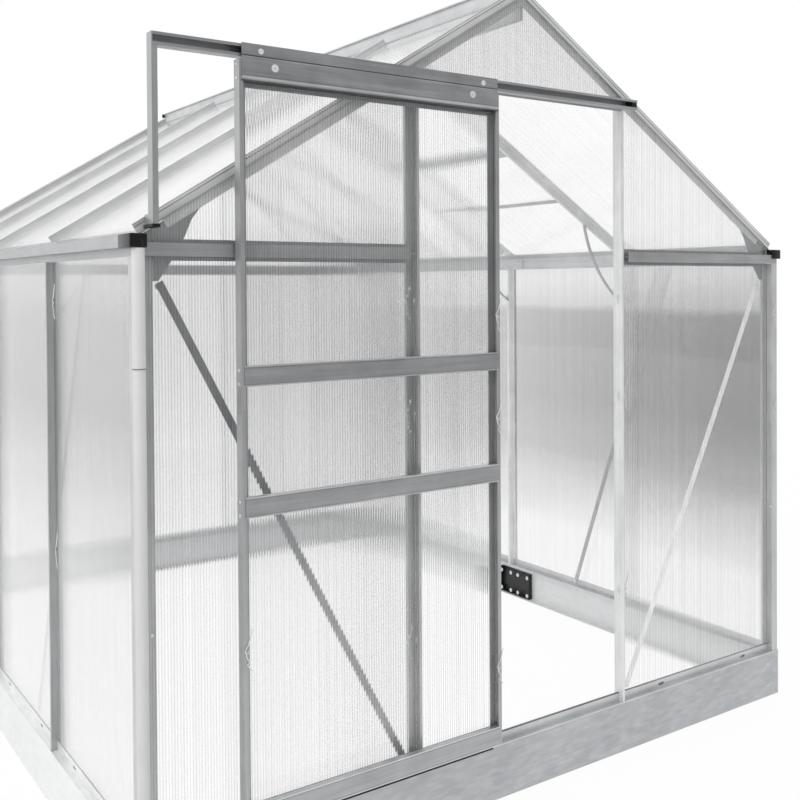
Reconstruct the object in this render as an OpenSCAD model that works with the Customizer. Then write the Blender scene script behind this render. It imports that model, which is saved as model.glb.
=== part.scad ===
// Walk-in greenhouse: aluminium glazing bars and twin-wall sheets on a folded steel base,
// with a sliding door hung on an outside track.
// Units are millimetres. X runs along the gable, the door gable faces -Y, Z is up from the ground.

/* [Overall] */
// Width over the base rails
base_w = 1900; // [1500:10:2600]
// Length over the base rails
base_l = 2500; // [2000:10:4000]
// Height of the folded base rails
base_h = 125; // [60:1:200]
// Height of the underside of the eave beam
eave_h = 1278; // [1100:1:1700]
// Roof pitch in degrees
pitch = 32.7; // [20:0.1:42]
// Number of bays along the side walls (an even number puts a post at mid length)
bays = 4; // [2:2:8]

/* [Base] */
// Thickness of the base sheet
base_t = 2; // [1:0.1:4]
// Width of the flanges folded inwards
base_flange = 28; // [10:1:45]
// Length of the black splice piece at mid length
splice_l = 180; // [100:1:300]
// Height of the black splice piece
splice_h = 96; // [40:1:115]

/* [Glazing bars] */
// Depth of the outer fin, from its edge to the seat of the sheets
fin_d = 20; // [14:1:30]
// Thickness of the outer fin
fin_t = 2.2; // [1.5:0.1:4]
// Width of the edge bead on the fin
head_w = 8; // [4:1:14]
// Thickness of beads, lips and seats
lip_t = 2; // [1.2:0.1:3]
// Width of the seat behind the sheets
seat_w = 26; // [18:1:40]
// Width of the inner web
web_w = 9; // [6:1:14]
// Height of the inner web
web_h = 18; // [10:1:30]
// Set-back of the fins from the face of the base
wall_in = 2.5; // [2.5:0.5:8]

/* [Sheets] */
// Thickness of the twin-wall sheets
sheet_t = 4; // [4:1:10]
// Gap left at the edges of a sheet
sheet_gap = 1.5; // [1:0.1:4]

/* [Sill] */
// Height of the sill above the base
sill_h = 22; // [14:1:40]
// Width of the sill
sill_w = 40; // [30:1:50]

/* [Corners] */
// Side of the square corner tube
corner_w = 24; // [16:1:32]
// Wall of the corner tube
corner_t = 1.8; // [1.2:0.1:3]
// Width of the sheet seat beside the corner tube
corner_seat = 20; // [12:1:30]

/* [Eave] */
// Height of the web of the eave beam
eave_web = 42; // [34:1:70]
// Height of the band that holds the wall sheets
eave_band = 16; // [10:1:26]
// Height of the gutter wall
gutter_h = 23; // [12:1:40]
// How far the gutter stands out past the base
gutter_out = 9; // [0:1:30]
// Width of the sloping flange that carries the roof bars
eave_flange = 22; // [12:1:40]
// Set-back of the roof bar ends from the face of the base
bar_end = 9; // [2:1:20]

/* [Ridge] */
// Height of the ridge fin above the roof bars
ridge_rise = 16; // [8:1:40]
// Width of the bead on the ridge fin
ridge_head = 18; // [10:1:30]
// Depth of the ridge beam below the sheets
ridge_web = 52; // [20:1:90]
// Length of the ridge seats down the slope
ridge_seat = 30; // [18:1:50]

/* [Gables] */
// How far the ledge of a sloping gable bar stands out over the edge of the sheets
verge_lip = 6; // [3:0.5:14]
// Height of the sheet seat below the sloping gable bars
verge_seat = 19; // [10:1:30]
// Height of the face of the cross bars
cross_h = 26; // [16:1:40]
// Height of the sheet seats of the cross bars
cross_seat = 42; // [30:1:60]
// Height of the sheet seat of the bar over the door
header_seat = 18; // [10:1:19]
// Distance between the two door jambs, centre to centre
jamb_pitch = 650; // [500:5:900]
// Width of a jamb
jamb_w = 26; // [18:1:40]
// Height of the underside of the door track
track_z = 1670; // [1500:1:1720]

/* [Track] */
// Height of the track
track_h = 25; // [18:1:40]
// Depth of the track
track_d = 26.5; // [20:0.5:40]
// Height of the front lips of the track
track_lip = 6; // [3:0.5:8]
// Set-in of the left end of the track from the face of the base
track_in = 35; // [10:1:120]
// Reach of the track past the right-hand jamb centre
track_past = 20; // [10:1:90]
// Width of the front face of the track post
post_face = 11; // [8:1:24]

/* [Door] */
// Width of the door
door_w = 637; // [500:1:900]
// How far the door stands open, from closed
door_open = 429; // [0:1:429]
// Clearance below the door
door_under = 16; // [8:1:30]
// Clearance of the door from the frame behind it
door_back = 5.5; // [5:0.1:12]
// Depth of the door stiles
stile_d = 25; // [18:1:36]
// Width of the bead on the stiles
stile_head = 9; // [6:1:16]
// Width of the sheet seat of the stiles
stile_seat = 20; // [14:1:30]
// Height of the two middle rails
rail_h = 41; // [24:1:70]
// Height of the lower middle rail above the base
rail_low = 637; // [300:1:800]
// Height of the upper middle rail above the base
rail_high = 897; // [820:1:1200]
// Height of the bottom rail
bottom_h = 44; // [24:1:70]
// Height of the hanger plate
hanger_h = 74; // [50:1:110]
// Diameter of the door rollers
roller_d = 20; // [14:0.5:30]
// Distance of the rollers from the ends of the door
roller_in = 48; // [30:1:120]

/* [Roof vent] */
// Length of the vent down the slope
vent_l = 530; // [300:5:760]
// Width of the vent frame members
vent_rail = 22; // [14:1:40]
// Distance of the slim purlin from the ridge, down the slope
purlin_s = 785; // [600:5:1000]
// Width of the slim purlin
purlin_w = 16; // [10:1:40]

/* [Braces] */
// Width of the flat braces
brace_w = 16; // [10:1:30]
// Thickness of the flat braces
brace_t = 2.5; // [1.5:0.5:5]
// Foot of a gable brace, from the outside of the base
gable_foot = 605; // [300:5:620]
// Top of a wall brace, from the end of the base
wall_top = 420; // [100:5:550]
// Foot of a wall brace, from the end of the base
wall_foot = 860; // [700:5:1200]
// Width of the curved knee braces
knee_w = 12; // [8:1:24]
// Height of the foot of a knee brace below the eave
knee_low = 118; // [80:1:300]
// Reach of a knee brace in from the face of the base
knee_in = 205; // [120:5:300]
// Bow of a knee brace
knee_bow = 28; // [4:1:40]

/* [Rainwater] */
// Diameter of the downpipes
pipe_d = 23; // [16:0.5:40]
// Wall of the downpipes
pipe_t = 1.8; // [1:0.1:4]
// Height of the open foot of a downpipe
pipe_foot = 12; // [2:1:120]
// Height at which the upper length of a downpipe starts
pipe_joint = 1067; // [200:1:1180]

/* [Hidden] */
$fn = 48;
e = 0.01;
half_w = base_w / 2;
half_l = base_l / 2;
seat_in = wall_in + fin_d;
sheet_in = seat_in - sheet_t;
bar_in = seat_in + lip_t + web_h;
sill_z = base_h;
sill_t = 1.6;
sill_lip = 3.5;
post_z0 = sill_z + sill_t;
sheet_z0 = sill_z + sill_t + 2;
bay = base_l / bays;
cp = cos(pitch);
sp = sin(pitch);
tp = tan(pitch);
// The eave beam carries the roof bars on a flange that starts at the back of its web.
eave_web_in = seat_in + 0.3;
eave_web_t = 2;
eave_seat_z = eave_h + eave_web;
// Outer plane of the roof (the edge of the fins) at the middle of the gable.
apex_z = eave_seat_z + (fin_d + lip_t) / cp + tp * (half_w - eave_web_in);
ridge_z = apex_z + ridge_rise;
slope_end = (half_w - bar_end) / cp;
sheet_end = (half_w - wall_in - 12) / cp;
// Height of the plane at depth n under the fins, at distance u in from the face of the base.
function plane_z(n, u) = apex_z - n / cp - tp * (half_w - u);
jamb_x = jamb_pitch / 2;
jamb_out = jamb_x + jamb_w / 2;
jamb_inner = jamb_x - jamb_w / 2;
cross_z = eave_h - 1;
track_back = wall_in - 0.02;
track_front = track_back - track_d;
track_x0 = -half_w + track_in;
track_x1 = jamb_x + track_past;
header_z = track_z - 3;
door_face_t = 2;
door_y1 = track_front - 5;
door_y0 = door_y1 - door_face_t;
stile_y1 = min(door_y1 + stile_d, wall_in - door_back);
door_seat_y = stile_y1 - 5;
door_x = -door_open;
door_z0 = sill_z + sill_lip + door_under;
door_top = track_z - door_back;
hanger_top = track_z + track_h + 1;
rail_in = 6;
roller_z = track_z + lip_t + 0.5 + roller_d / 2;
gusset_y = seat_in + lip_t;
ridge_y0 = seat_in + lip_t + 0.5;
cap_t = 2.5;
side_bay_x = (half_w + jamb_x) / 2;

alu = [0.70, 0.71, 0.72];
alu_dark = [0.56, 0.57, 0.58];
zinc = [0.62, 0.64, 0.65];
clear_sheet = [0.86, 0.89, 0.90];
black = [0.06, 0.06, 0.06];
white = [0.90, 0.90, 0.90];

// A profile given as (y, z) points, run along X.
module along_x(pts, x0, x1) {
    translate([x0, 0, 0])
        rotate([90, 0, 90])
            linear_extrude(x1 - x0)
                polygon(pts);
}

// A profile given as (x, z) points, run along Y.
module along_y(pts, y0, y1) {
    translate([0, y1, 0])
        rotate([90, 0, 0])
            linear_extrude(y1 - y0)
                polygon(pts);
}

// A profile given as (x, y) points, run along Z.
module along_z(pts, z0, z1) {
    translate([0, 0, z0])
        linear_extrude(z1 - z0)
            polygon(pts);
}

// A box between two corners.
module block(a, b) {
    translate(a)
        cube([b[0] - a[0], b[1] - a[1], b[2] - a[2]]);
}

module both_x() {
    children();
    mirror([1, 0, 0])
        children();
}

module both_y() {
    children();
    mirror([0, 1, 0])
        children();
}

// Places children in the frame of the right-hand slope: X down the slope from the ridge,
// Z out of the roof, with 0 at the edge of the fins.
module on_slope() {
    translate([0, 0, apex_z])
        rotate([0, pitch, 0])
            children();
}

// Section of a glazing bar as (across, in) points, symmetric about 0.
function bar_pts(web) = let (
        h = head_w / 2,
        f = fin_t / 2,
        s = seat_w / 2,
        w = web_w / 2,
        d = fin_d + lip_t
    ) concat(
        [[-h, 0], [h, 0], [h, lip_t], [f, lip_t], [f, fin_d], [s, fin_d], [s, d]],
        web > 0 ? [[w, d], [w, d + web], [-w, d + web], [-w, d]] : [],
        [[-s, d], [-s, fin_d], [-f, fin_d], [-f, lip_t], [-h, lip_t]]
    );

// ---- base ----

// Folded rail of the base: a face with a flange at the top and one at the bottom.
function base_pts() = [
    [0, 0], [base_flange, 0], [base_flange, base_t], [base_t, base_t],
    [base_t, base_h - base_t], [base_flange, base_h - base_t],
    [base_flange, base_h], [0, base_h]
];

module base_gable_rail() {
    translate([0, -half_l, 0])
        along_x(base_pts(), -half_w + base_t + 0.2, half_w - base_t - 0.2);
}

module base_wall_rail() {
    run = half_l - base_flange - 0.2;
    translate([-half_w, 0, 0]) {
        along_y([[0, 0], [base_t, 0], [base_t, base_h], [0, base_h]], -half_l, half_l);
        along_y(base_pts(), -run, run);
    }
}

module base_front() {
    color(zinc)
        base_gable_rail();
}

module base_back() {
    color(zinc)
        mirror([0, 1, 0])
            base_gable_rail();
}

module base_left() {
    color(zinc)
        base_wall_rail();
}

module base_right() {
    color(zinc)
        mirror([1, 0, 0])
            base_wall_rail();
}

// Black channel that joins the two lengths of a side rail, on the inside.
module base_splice() {
    x0 = -half_w + base_t;
    z0 = base_t + 0.5;
    block([x0, -splice_l / 2, z0], [x0 + 2.5, splice_l / 2, z0 + splice_h]);
    for (y = [-splice_l / 2, splice_l / 2 - 2.5])
        block([x0 + 2.5 - e, y, z0], [x0 + 16, y + 2.5, z0 + splice_h]);
    block([x0 + 2.5 - e, -splice_l / 2, z0], [x0 + 16, splice_l / 2, z0 + 2.5]);
}

module base_splices() {
    color(black)
        both_x()
            base_splice();
}

// ---- sills ----

// Sill section as (in, up) points: a lip, a floor, a front upstand and a back web with the
// trough for the sheets between them.
function sill_pts() = let (
        f = sheet_in - 0.3,
        b = seat_in + 0.3
    ) [
        [0.5, 0], [sill_w, 0], [sill_w, sill_t], [b + sill_t, sill_t],
        [b + sill_t, sill_h + 2], [b, sill_h + 2], [b, sill_t], [f, sill_t],
        [f, sill_h], [f - sill_t, sill_h], [f - sill_t, sill_t], [2, sill_t],
        [2, sill_lip], [0.5, sill_lip]
    ];

// Oval slots through the upstand of a sill, two to a bay, on a run along X.
module sill_slots(centres) {
    for (c = centres)
        for (s = [-1, 1])
            translate([c + s * bay * 0.27, sheet_in, sill_t + sill_h * 0.42])
                rotate([90, 0, 0])
                    linear_extrude(8, center = true)
                        union() {
                            square([14, 7], center = true);
                            translate([7, 0])
                                circle(d = 7);
                            translate([-7, 0])
                                circle(d = 7);
                        }
}

module gable_sill(centres) {
    translate([0, -half_l, sill_z])
        difference() {
            along_x(sill_pts(), -half_w, half_w);
            sill_slots(centres);
        }
}

module wall_sill() {
    run = half_l - sill_w - 0.3;
    translate([-half_w, 0, sill_z])
        mirror([1, 0, 0])
            rotate([0, 0, 90])
                difference() {
                    along_x(sill_pts(), -run, run);
                    sill_slots([for (i = [0 : bays - 1]) (i + 0.5) * bay - half_l]);
                }
}

module sill_front() {
    color(alu)
        gable_sill([-side_bay_x, side_bay_x]);
}

module sill_back() {
    color(alu)
        mirror([0, 1, 0])
            gable_sill([-side_bay_x, 0, side_bay_x]);
}

module sill_left() {
    color(alu)
        wall_sill();
}

module sill_right() {
    color(alu)
        mirror([1, 0, 0])
            wall_sill();
}

// Room for the sill round the foot of a post: its lip, upstand, trough and back web.
module sill_room() {
    block([-100, sheet_in - 0.3 - sill_t - 0.3, sill_z - 1],
        [100, seat_in + 0.3 + sill_t + 0.3, sill_z + sill_h + 2.3]);
}

// ---- posts ----

// Room for the sheet seat of the sloping gable bar at a post whose centre is at x = -m.
module verge_seat_room(m) {
    low = plane_z(fin_d + lip_t + verge_seat, half_w - m - 20) - 0.5;
    block([-m - 20, seat_in - 0.2, low], [-m + 20, seat_in + lip_t + 0.2, low + 200]);
}

// Front left corner: a tube with a sheet seat on each side.
module corner_post() {
    o = wall_in;
    c = wall_in + corner_w;
    s = seat_in;
    t = s + lip_t;
    f = c + corner_seat;
    translate([-half_w, -half_l, 0])
        difference() {
            along_z([[o, o], [c, o], [c, s], [f, s], [f, t], [c, t], [c, c],
                [t, c], [t, f], [s, f], [s, c], [o, c]], post_z0, eave_h - 1);
            block([o + corner_t, o + corner_t, 0],
                [c - corner_t, c - corner_t, eave_h]);
            block([o - 1, sheet_in - 2.2, sill_z - 1],
                [f + 1, s + 2.2, sill_z + sill_h + 2.3]);
            block([sheet_in - 2.2, sill_w, sill_z - 1],
                [s + 2.2, f + 1, sill_z + sill_h + 2.3]);
        }
}

module corner_posts() {
    color(alu)
        both_x()
            both_y()
                corner_post();
}

// A glazing bar standing in a wall that faces -Y, between two heights.
module standing_bar(z0, z1) {
    difference() {
        translate([0, wall_in, 0])
            along_z(bar_pts(web_h), z0, z1);
        sill_room();
    }
}

module wall_post() {
    translate([-half_w, 0, 0])
        rotate([0, 0, -90])
            standing_bar(post_z0, eave_h - 0.3);
}

module wall_posts() {
    color(alu)
        both_x()
            for (i = [1 : bays - 1])
                translate([0, i * bay - half_l, 0])
                    wall_post();
}

// Left jamb of the doorway: a side plate with a bead, a sheet seat and a web behind it.
module jamb() {
    a = jamb_inner;
    b = jamb_out;
    m = jamb_x;
    y0 = wall_in;
    top = plane_z(fin_d + lip_t, half_w - b) - 0.5;
    translate([0, -half_l, 0])
        difference() {
            along_z([[-a, y0], [-a, seat_in + lip_t], [-m + web_w / 2, seat_in + lip_t],
                [-m + web_w / 2, bar_in], [-m - web_w / 2, bar_in],
                [-m - web_w / 2, seat_in + lip_t], [-b, seat_in + lip_t],
                [-b, seat_in], [-a - lip_t, seat_in], [-a - lip_t, y0 + lip_t],
                [-a - 7, y0 + lip_t], [-a - 7, y0]], post_z0, top);
            translate([-m, 0, 0])
                sill_room();
            verge_seat_room(m);
        }
}

module door_jambs() {
    color(alu)
        both_x()
            jamb();
}

module back_posts() {
    top = plane_z(fin_d + lip_t, half_w - jamb_x - seat_w / 2) - 0.5;
    color(alu)
        both_x()
            translate([0, half_l, 0])
                mirror([0, 1, 0])
                    difference() {
                        translate([-jamb_x, 0, 0])
                            standing_bar(post_z0, top);
                        verge_seat_room(jamb_x);
                    }
}

// ---- eaves ----

// Eave beam section as (in, z) points: gutter, hem over the wall sheets, web and roof seat.
function eave_pts() = let (
        g = eave_h + eave_band,
        w = eave_web_in,
        w2 = eave_web_in + eave_web_t,
        f = eave_web_in + eave_flange,
        h = sheet_in - 0.3,
        o = -gutter_out
    ) [
        [o, g], [o, g + gutter_h], [o + 1.6, g + gutter_h], [o + 1.6, g + 1.6],
        [w, g + 1.6], [w, eave_seat_z], [f, eave_seat_z + tp * eave_flange],
        [f, eave_seat_z + tp * eave_flange - 2.2],
        [w2, eave_seat_z + tp * eave_web_t - 2.2], [w2, eave_h], [w, eave_h], [w, g],
        [h, g], [h, eave_h], [h - 1.6, eave_h], [h - 1.6, g]
    ];

eave_y = half_l - seat_in - lip_t - 0.2;

module eave_beam() {
    translate([-half_w, 0, 0])
        along_y(eave_pts(), -eave_y, eave_y);
}

module eave_left() {
    color(alu)
        eave_beam();
}

module eave_right() {
    color(alu)
        mirror([1, 0, 0])
            eave_beam();
}

// Plates that join the two lengths of an eave beam, on the inside of its web.
module eave_splices() {
    x0 = -half_w + eave_web_in + eave_web_t;
    color(alu_dark)
        both_x()
            block([x0, -75, eave_h + 3], [x0 + 2, 75, eave_h + 35]);
}

// End piece of a gutter: an arm beside the gable and a box in front of it.
module gutter_cap(reach, over) {
    g = eave_h + eave_band;
    arm = wall_in - 0.3;
    translate([-half_w, -half_l, 0]) {
        block([-gutter_out - 2, wall_in - 0.5, g - 2], [arm, seat_in + lip_t + 0.2, g + gutter_h + 2]);
        block([-gutter_out - 2, seat_in + lip_t - e, g - 2],
            [-gutter_out, seat_in + 22, g + gutter_h + 2]);
        block([-gutter_out - 2, -reach, g - 2], [over, wall_in - 0.3, g + gutter_h + 2]);
    }
}

module gutter_end_caps() {
    color(black) {
        gutter_cap(28, 22);
        rotate([0, 0, 180])
            gutter_cap(28, 22);
        mirror([1, 0, 0])
            gutter_cap(2, 24);
        mirror([0, 1, 0])
            gutter_cap(2, 24);
    }
}

pipe_in = 8;
pipe_out = pipe_d / 2 + 2;

module downpipe() {
    top = eave_h + eave_band - 2;
    translate([-half_w + pipe_in, -half_l - pipe_out, 0])
        difference() {
            union() {
                translate([0, 0, pipe_foot])
                    cylinder(d = pipe_d, h = top - pipe_foot);
                translate([0, 0, pipe_joint])
                    cylinder(d = pipe_d + 1, h = top - pipe_joint);
            }
            translate([0, 0, -1])
                cylinder(d = pipe_d - 2 * pipe_t, h = top - 9);
        }
}

module downpipes() {
    color(white) {
        downpipe();
        rotate([0, 0, 180])
            downpipe();
    }
}

// ---- gables ----

// Cross bar section as (y, z) points: a face, a web and a seat for the sheets.
function cross_pts(z0, h, seat) = let (
        a = wall_in,
        b = wall_in + lip_t,
        c = seat_in,
        d = seat_in + lip_t,
        m = z0 + h / 2
    ) [
        [a, z0], [b, z0], [b, m - 1], [c, m - 1], [c, m - seat / 2], [d, m - seat / 2],
        [d, m + seat / 2], [c, m + seat / 2], [c, m + 1], [b, m + 1], [b, z0 + h],
        [a, z0 + h]
    ];

// Cross bar of a side bay: the seat stops at the corner, the face runs over it.
module side_cross_bar() {
    x0 = -half_w + wall_in;
    x1 = -jamb_out - 0.3;
    corner = -half_w + wall_in + corner_w + corner_seat + 1;
    translate([0, -half_l, 0])
        difference() {
            along_x(cross_pts(cross_z + 0.3, cross_h, cross_seat), x0, x1);
            block([x0 - 1, seat_in - 1, cross_z - 50], [corner, seat_in + 10, cross_z + 80]);
        }
}

module front_cross_bars() {
    color(alu_dark)
        both_x()
            side_cross_bar();
}

module back_cross_bars() {
    x1 = jamb_x - seat_w / 2 - 0.3;
    color(alu_dark)
        mirror([0, 1, 0]) {
            both_x()
                side_cross_bar();
            translate([0, -half_l, 0])
                along_x(cross_pts(cross_z + 0.3, cross_h, cross_seat), -x1, x1);
        }
}

module door_header() {
    x1 = jamb_inner - 0.3;
    color(alu)
        translate([0, -half_l, 0])
            along_x(cross_pts(header_z, track_h + 2, header_seat), -x1, x1);
}

// Sloping bar of the front gable, right-hand side: a plate that closes the edge of the roof
// and backs the gable sheets, a ledge over their edges, and a seat for the roof sheet.
module verge_bar() {
    d = fin_d + lip_t;
    y0 = -half_l + seat_in;
    seat_s1 = (half_w - wall_in - corner_w - corner_seat - 8) / cp;
    intersection() {
        on_slope() {
            block([-40, y0, -d], [slope_end, y0 + lip_t, 0]);
            block([-40, y0, -d - verge_seat], [seat_s1, y0 + lip_t, -d + e]);
            block([-40, y0 - verge_lip, -d], [slope_end, y0 + e, -fin_d]);
            block([-40, y0 - 2, -2], [slope_end, y0 + e, 0]);
            block([ridge_seat + 0.2, y0 + lip_t - e, -d], [slope_end, -half_l + bar_in, -fin_d]);
        }
        block([0.25, -half_l - 10, 0], [half_w, half_l, 3000]);
    }
}

module front_verge_bars() {
    color(alu)
        both_x()
            verge_bar();
}

module back_verge_bars() {
    color(alu)
        mirror([0, 1, 0])
            both_x()
                verge_bar();
}

// ---- ridge and roof bars ----

// Point at distance s down the right-hand slope and n out of it, as (x, z).
function on_sl(s, n) = [s * cp + n * sp, apex_z - s * sp + n * cp];

// Right half of the ridge section, from the top down to depth z1 at the middle.
function ridge_half(z1) = let (
        k = 2,
        w = 4,
        t = sheet_t + 0.2,
        c = fin_d - sheet_t - 1.6
    ) [
        [ridge_head / 2, ridge_z], [ridge_head / 2, ridge_z - 3], [k, ridge_z - 3],
        [k, apex_z - c / cp - tp * k], on_sl(ridge_seat, -c), on_sl(ridge_seat, -c - 1.4),
        [w, apex_z - (c + 1.4) / cp - tp * w], [w, apex_z - (c + 1.4 + t) / cp - tp * w],
        on_sl(ridge_seat, -c - 1.4 - t), on_sl(ridge_seat, -fin_d - lip_t),
        [w, apex_z - (fin_d + lip_t) / cp - tp * w], [w, z1]
    ];

function whole(half) = concat(half, [for (i = [len(half) - 1 : -1 : 0]) [-half[i][0], half[i][1]]]);

module ridge_beam() {
    web_z = apex_z - (fin_d + lip_t) / cp - tp * 4 - 1 - ridge_web;
    y0 = half_l - ridge_y0;
    color(alu)
        along_y(whole(ridge_half(web_z)), -y0, y0);
}

module ridge_end_caps() {
    w = ridge_head / 2 + 3;
    y0 = -half_l + ridge_y0 - cap_t;
    color(black)
        both_y() {
            block([-w, y0, ridge_z - ridge_rise + 1], [w, y0 + cap_t, ridge_z]);
        }
}

// Roof bar on the right-hand slope, centred on y = 0.
module roof_bar() {
    d = fin_d + lip_t;
    web_s1 = (half_w - 52) / cp;
    on_slope() {
        along_x([for (p = bar_pts(0)) [p[0], -p[1]]], ridge_seat + 0.2, slope_end);
        block([ridge_seat + 4, -web_w / 2, -d - web_h], [web_s1, web_w / 2, -d + 1]);
    }
}

module roof_bars() {
    color(alu)
        both_x()
            for (i = [1 : bays - 1])
                translate([0, i * bay - half_l, 0])
                    roof_bar();
}

// ---- braces ----

knee_a = [bar_in, eave_h - knee_low];
knee_b = [knee_in, plane_z(fin_d + lip_t + web_h, knee_in)];
knee_l = norm(knee_b - knee_a);
knee_r = (knee_l * knee_l / 4 + knee_bow * knee_bow) / (2 * knee_bow);
knee_n = [knee_b[1] - knee_a[1], knee_a[0] - knee_b[0]] / knee_l;
knee_c = (knee_a + knee_b) / 2 - knee_n * (knee_r - knee_bow);

// Curved flat bar from a wall post up to the roof bar above it, left side.
module knee_brace() {
    d = fin_d + lip_t + web_h;
    far = knee_in + 60;
    translate([-half_w, 0, 0])
        intersection() {
            translate([knee_c[0], knee_w / 2, knee_c[1]])
                rotate([90, 0, 0])
                    difference() {
                        cylinder(r = knee_r + brace_t, h = knee_w, $fn = 360);
                        translate([0, 0, -1])
                            cylinder(r = knee_r, h = knee_w + 2, $fn = 360);
                    }
            along_y([[bar_in, knee_a[1] - 40], [far, knee_a[1] - 40], [far, plane_z(d, far)],
                [bar_in, plane_z(d, bar_in)]], -knee_w / 2, knee_w / 2);
        }
}

module knee_braces() {
    color(alu_dark)
        both_x()
            for (i = [1 : bays - 1])
                translate([0, i * bay - half_l, 0])
                    knee_brace();
}

// Flat bar between two points given as (run, z), in the plane y = 0, with square ends.
module flat_bar(a, b) {
    l = norm(b - a);
    t = atan2(b[1] - a[1], b[0] - a[0]);
    translate([a[0], 0, a[1]])
        rotate([0, -t, 0])
            block([0, 0, -brace_w / 2], [l, brace_t, brace_w / 2]);
}

module gable_braces() {
    color(alu_dark)
        both_x()
            both_y()
                translate([-half_w, -half_l + gusset_y + lip_t, 0])
                    flat_bar([60, eave_h - 50], [gable_foot, sill_z + 28]);
}

module wall_braces() {
    color(alu_dark)
        both_x()
            both_y()
                translate([-half_w + bar_in, -half_l, 0])
                    mirror([1, 0, 0])
                        rotate([0, 0, 90])
                            flat_bar([wall_top, eave_h - 10], [wall_foot, sill_z + 16]);
}

module corner_gussets() {
    d = fin_d + lip_t + 2.6;
    a = wall_in + corner_w + 0.5;
    color(alu_dark)
        both_x()
            both_y()
                translate([-half_w, -half_l + gusset_y, 0])
                    along_x_face([[a, eave_h - 48], [58, eave_h - 48], [102, eave_h + 18],
                        [125, eave_h + 73], [170, plane_z(d, 170)], [a, plane_z(d, a)]], lip_t);
}

// A plate given as (x, z) points, from y = 0 inwards.
module along_x_face(pts, t) {
    along_y(pts, 0, t);
}

// ---- sheets ----

side_w = fin_t / 2 + sheet_gap;

module wall_sheets() {
    x0 = -half_w + sheet_in;
    top = eave_h + eave_band - 2;
    first = wall_in + corner_w + sheet_gap;
    for (i = [0 : bays - 1]) {
        y0 = -half_l + (i == 0 ? first : i * bay + side_w);
        y1 = -half_l + (i == bays - 1 ? base_l - first : (i + 1) * bay - side_w);
        block([x0, y0, sheet_z0], [x0 + sheet_t, y1, top]);
    }
}

module left_wall_sheets() {
    color(clear_sheet)
        wall_sheets();
}

module right_wall_sheets() {
    color(clear_sheet)
        mirror([1, 0, 0])
            wall_sheets();
}

// Sheets of a side bay of a gable: one below the cross bar, one above it.
module side_gable_sheets(edge) {
    d = fin_d + lip_t + 0.7;
    x0 = -half_w + wall_in + corner_w + sheet_gap;
    x1 = -edge;
    mid = cross_z + 0.3 + cross_h / 2;
    translate([0, -half_l + sheet_in, 0]) {
        along_x_face([[x0, sheet_z0], [x1, sheet_z0], [x1, mid - 1 - sheet_gap],
            [x0, mid - 1 - sheet_gap]], sheet_t);
        along_x_face([[x0, mid + 1 + sheet_gap], [x1, mid + 1 + sheet_gap],
            [x1, plane_z(d, half_w + x1)], [x0, plane_z(d, half_w + x0)]], sheet_t);
    }
}

// Sheet under the peak of a gable, from height z0, between x = -edge and edge.
module peak_sheet(edge, z0) {
    d = fin_d + lip_t + 0.7;
    z1 = plane_z(d, half_w - edge);
    peak = apex_z - d / cp - tp * 4 - 1.4;
    p = (apex_z - d / cp - peak) / tp;
    translate([0, -half_l + sheet_in, 0])
        along_x_face([[-edge, z0], [edge, z0], [edge, z1], [p, peak], [-p, peak], [-edge, z1]],
            sheet_t);
}

module front_gable_sheets() {
    jamb_edge = jamb_inner + lip_t + sheet_gap;
    color(clear_sheet) {
        both_x()
            side_gable_sheets(jamb_edge);
        peak_sheet(jamb_inner - sheet_gap, header_z + track_h / 2 + 3.5);
    }
}

module back_gable_sheets() {
    edge = jamb_x - side_w;
    mid = cross_z + 0.3 + cross_h / 2;
    color(clear_sheet)
        mirror([0, 1, 0]) {
            both_x()
                side_gable_sheets(jamb_x + side_w);
            peak_sheet(edge, mid + 1 + sheet_gap);
            translate([0, -half_l + sheet_in, 0])
                along_x_face([[-edge, sheet_z0], [edge, sheet_z0],
                    [edge, mid - 1 - sheet_gap], [-edge, mid - 1 - sheet_gap]], sheet_t);
        }
}

// Sheet of roof bay i on the right-hand slope, between two distances down the slope.
module roof_sheet(i, s0, s1) {
    edge = seat_in + lip_t + sheet_gap;
    y0 = -half_l + (i == 0 ? edge : i * bay + side_w);
    y1 = -half_l + (i == bays - 1 ? base_l - edge : (i + 1) * bay - side_w);
    on_slope()
        block([s0, y0, -fin_d], [s1, y1, -fin_d + sheet_t]);
}

sheet_s0 = 20;
vent_bay = 1;

module left_roof_sheets() {
    color(clear_sheet)
        mirror([1, 0, 0])
            for (i = [0 : bays - 1])
                roof_sheet(i, sheet_s0, sheet_end);
}

module right_roof_sheets() {
    color(clear_sheet)
        for (i = [0 : bays - 1])
            roof_sheet(i, i == vent_bay ? vent_l + 3 : sheet_s0, sheet_end);
}

// ---- roof vent, shut, in the second bay of the right-hand slope ----

vent_y0 = -half_l + vent_bay * bay + fin_t / 2 + 3;
vent_y1 = -half_l + (vent_bay + 1) * bay - fin_t / 2 - 3;
vent_s0 = ridge_seat + 1;

module vent_frame() {
    r = vent_rail;
    color(alu)
        on_slope()
            difference() {
                block([vent_s0, vent_y0, -fin_d], [vent_l, vent_y1, -fin_d + 14]);
                block([vent_s0 + r, vent_y0 + r, -fin_d - 1], [vent_l - r, vent_y1 - r, 0]);
            }
}

module vent_sheet() {
    r = vent_rail + 0.3;
    color(clear_sheet)
        on_slope()
            block([vent_s0 + r, vent_y0 + r, -fin_d + 5],
                [vent_l - r, vent_y1 - r, -fin_d + 5 + sheet_t]);
}

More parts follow.
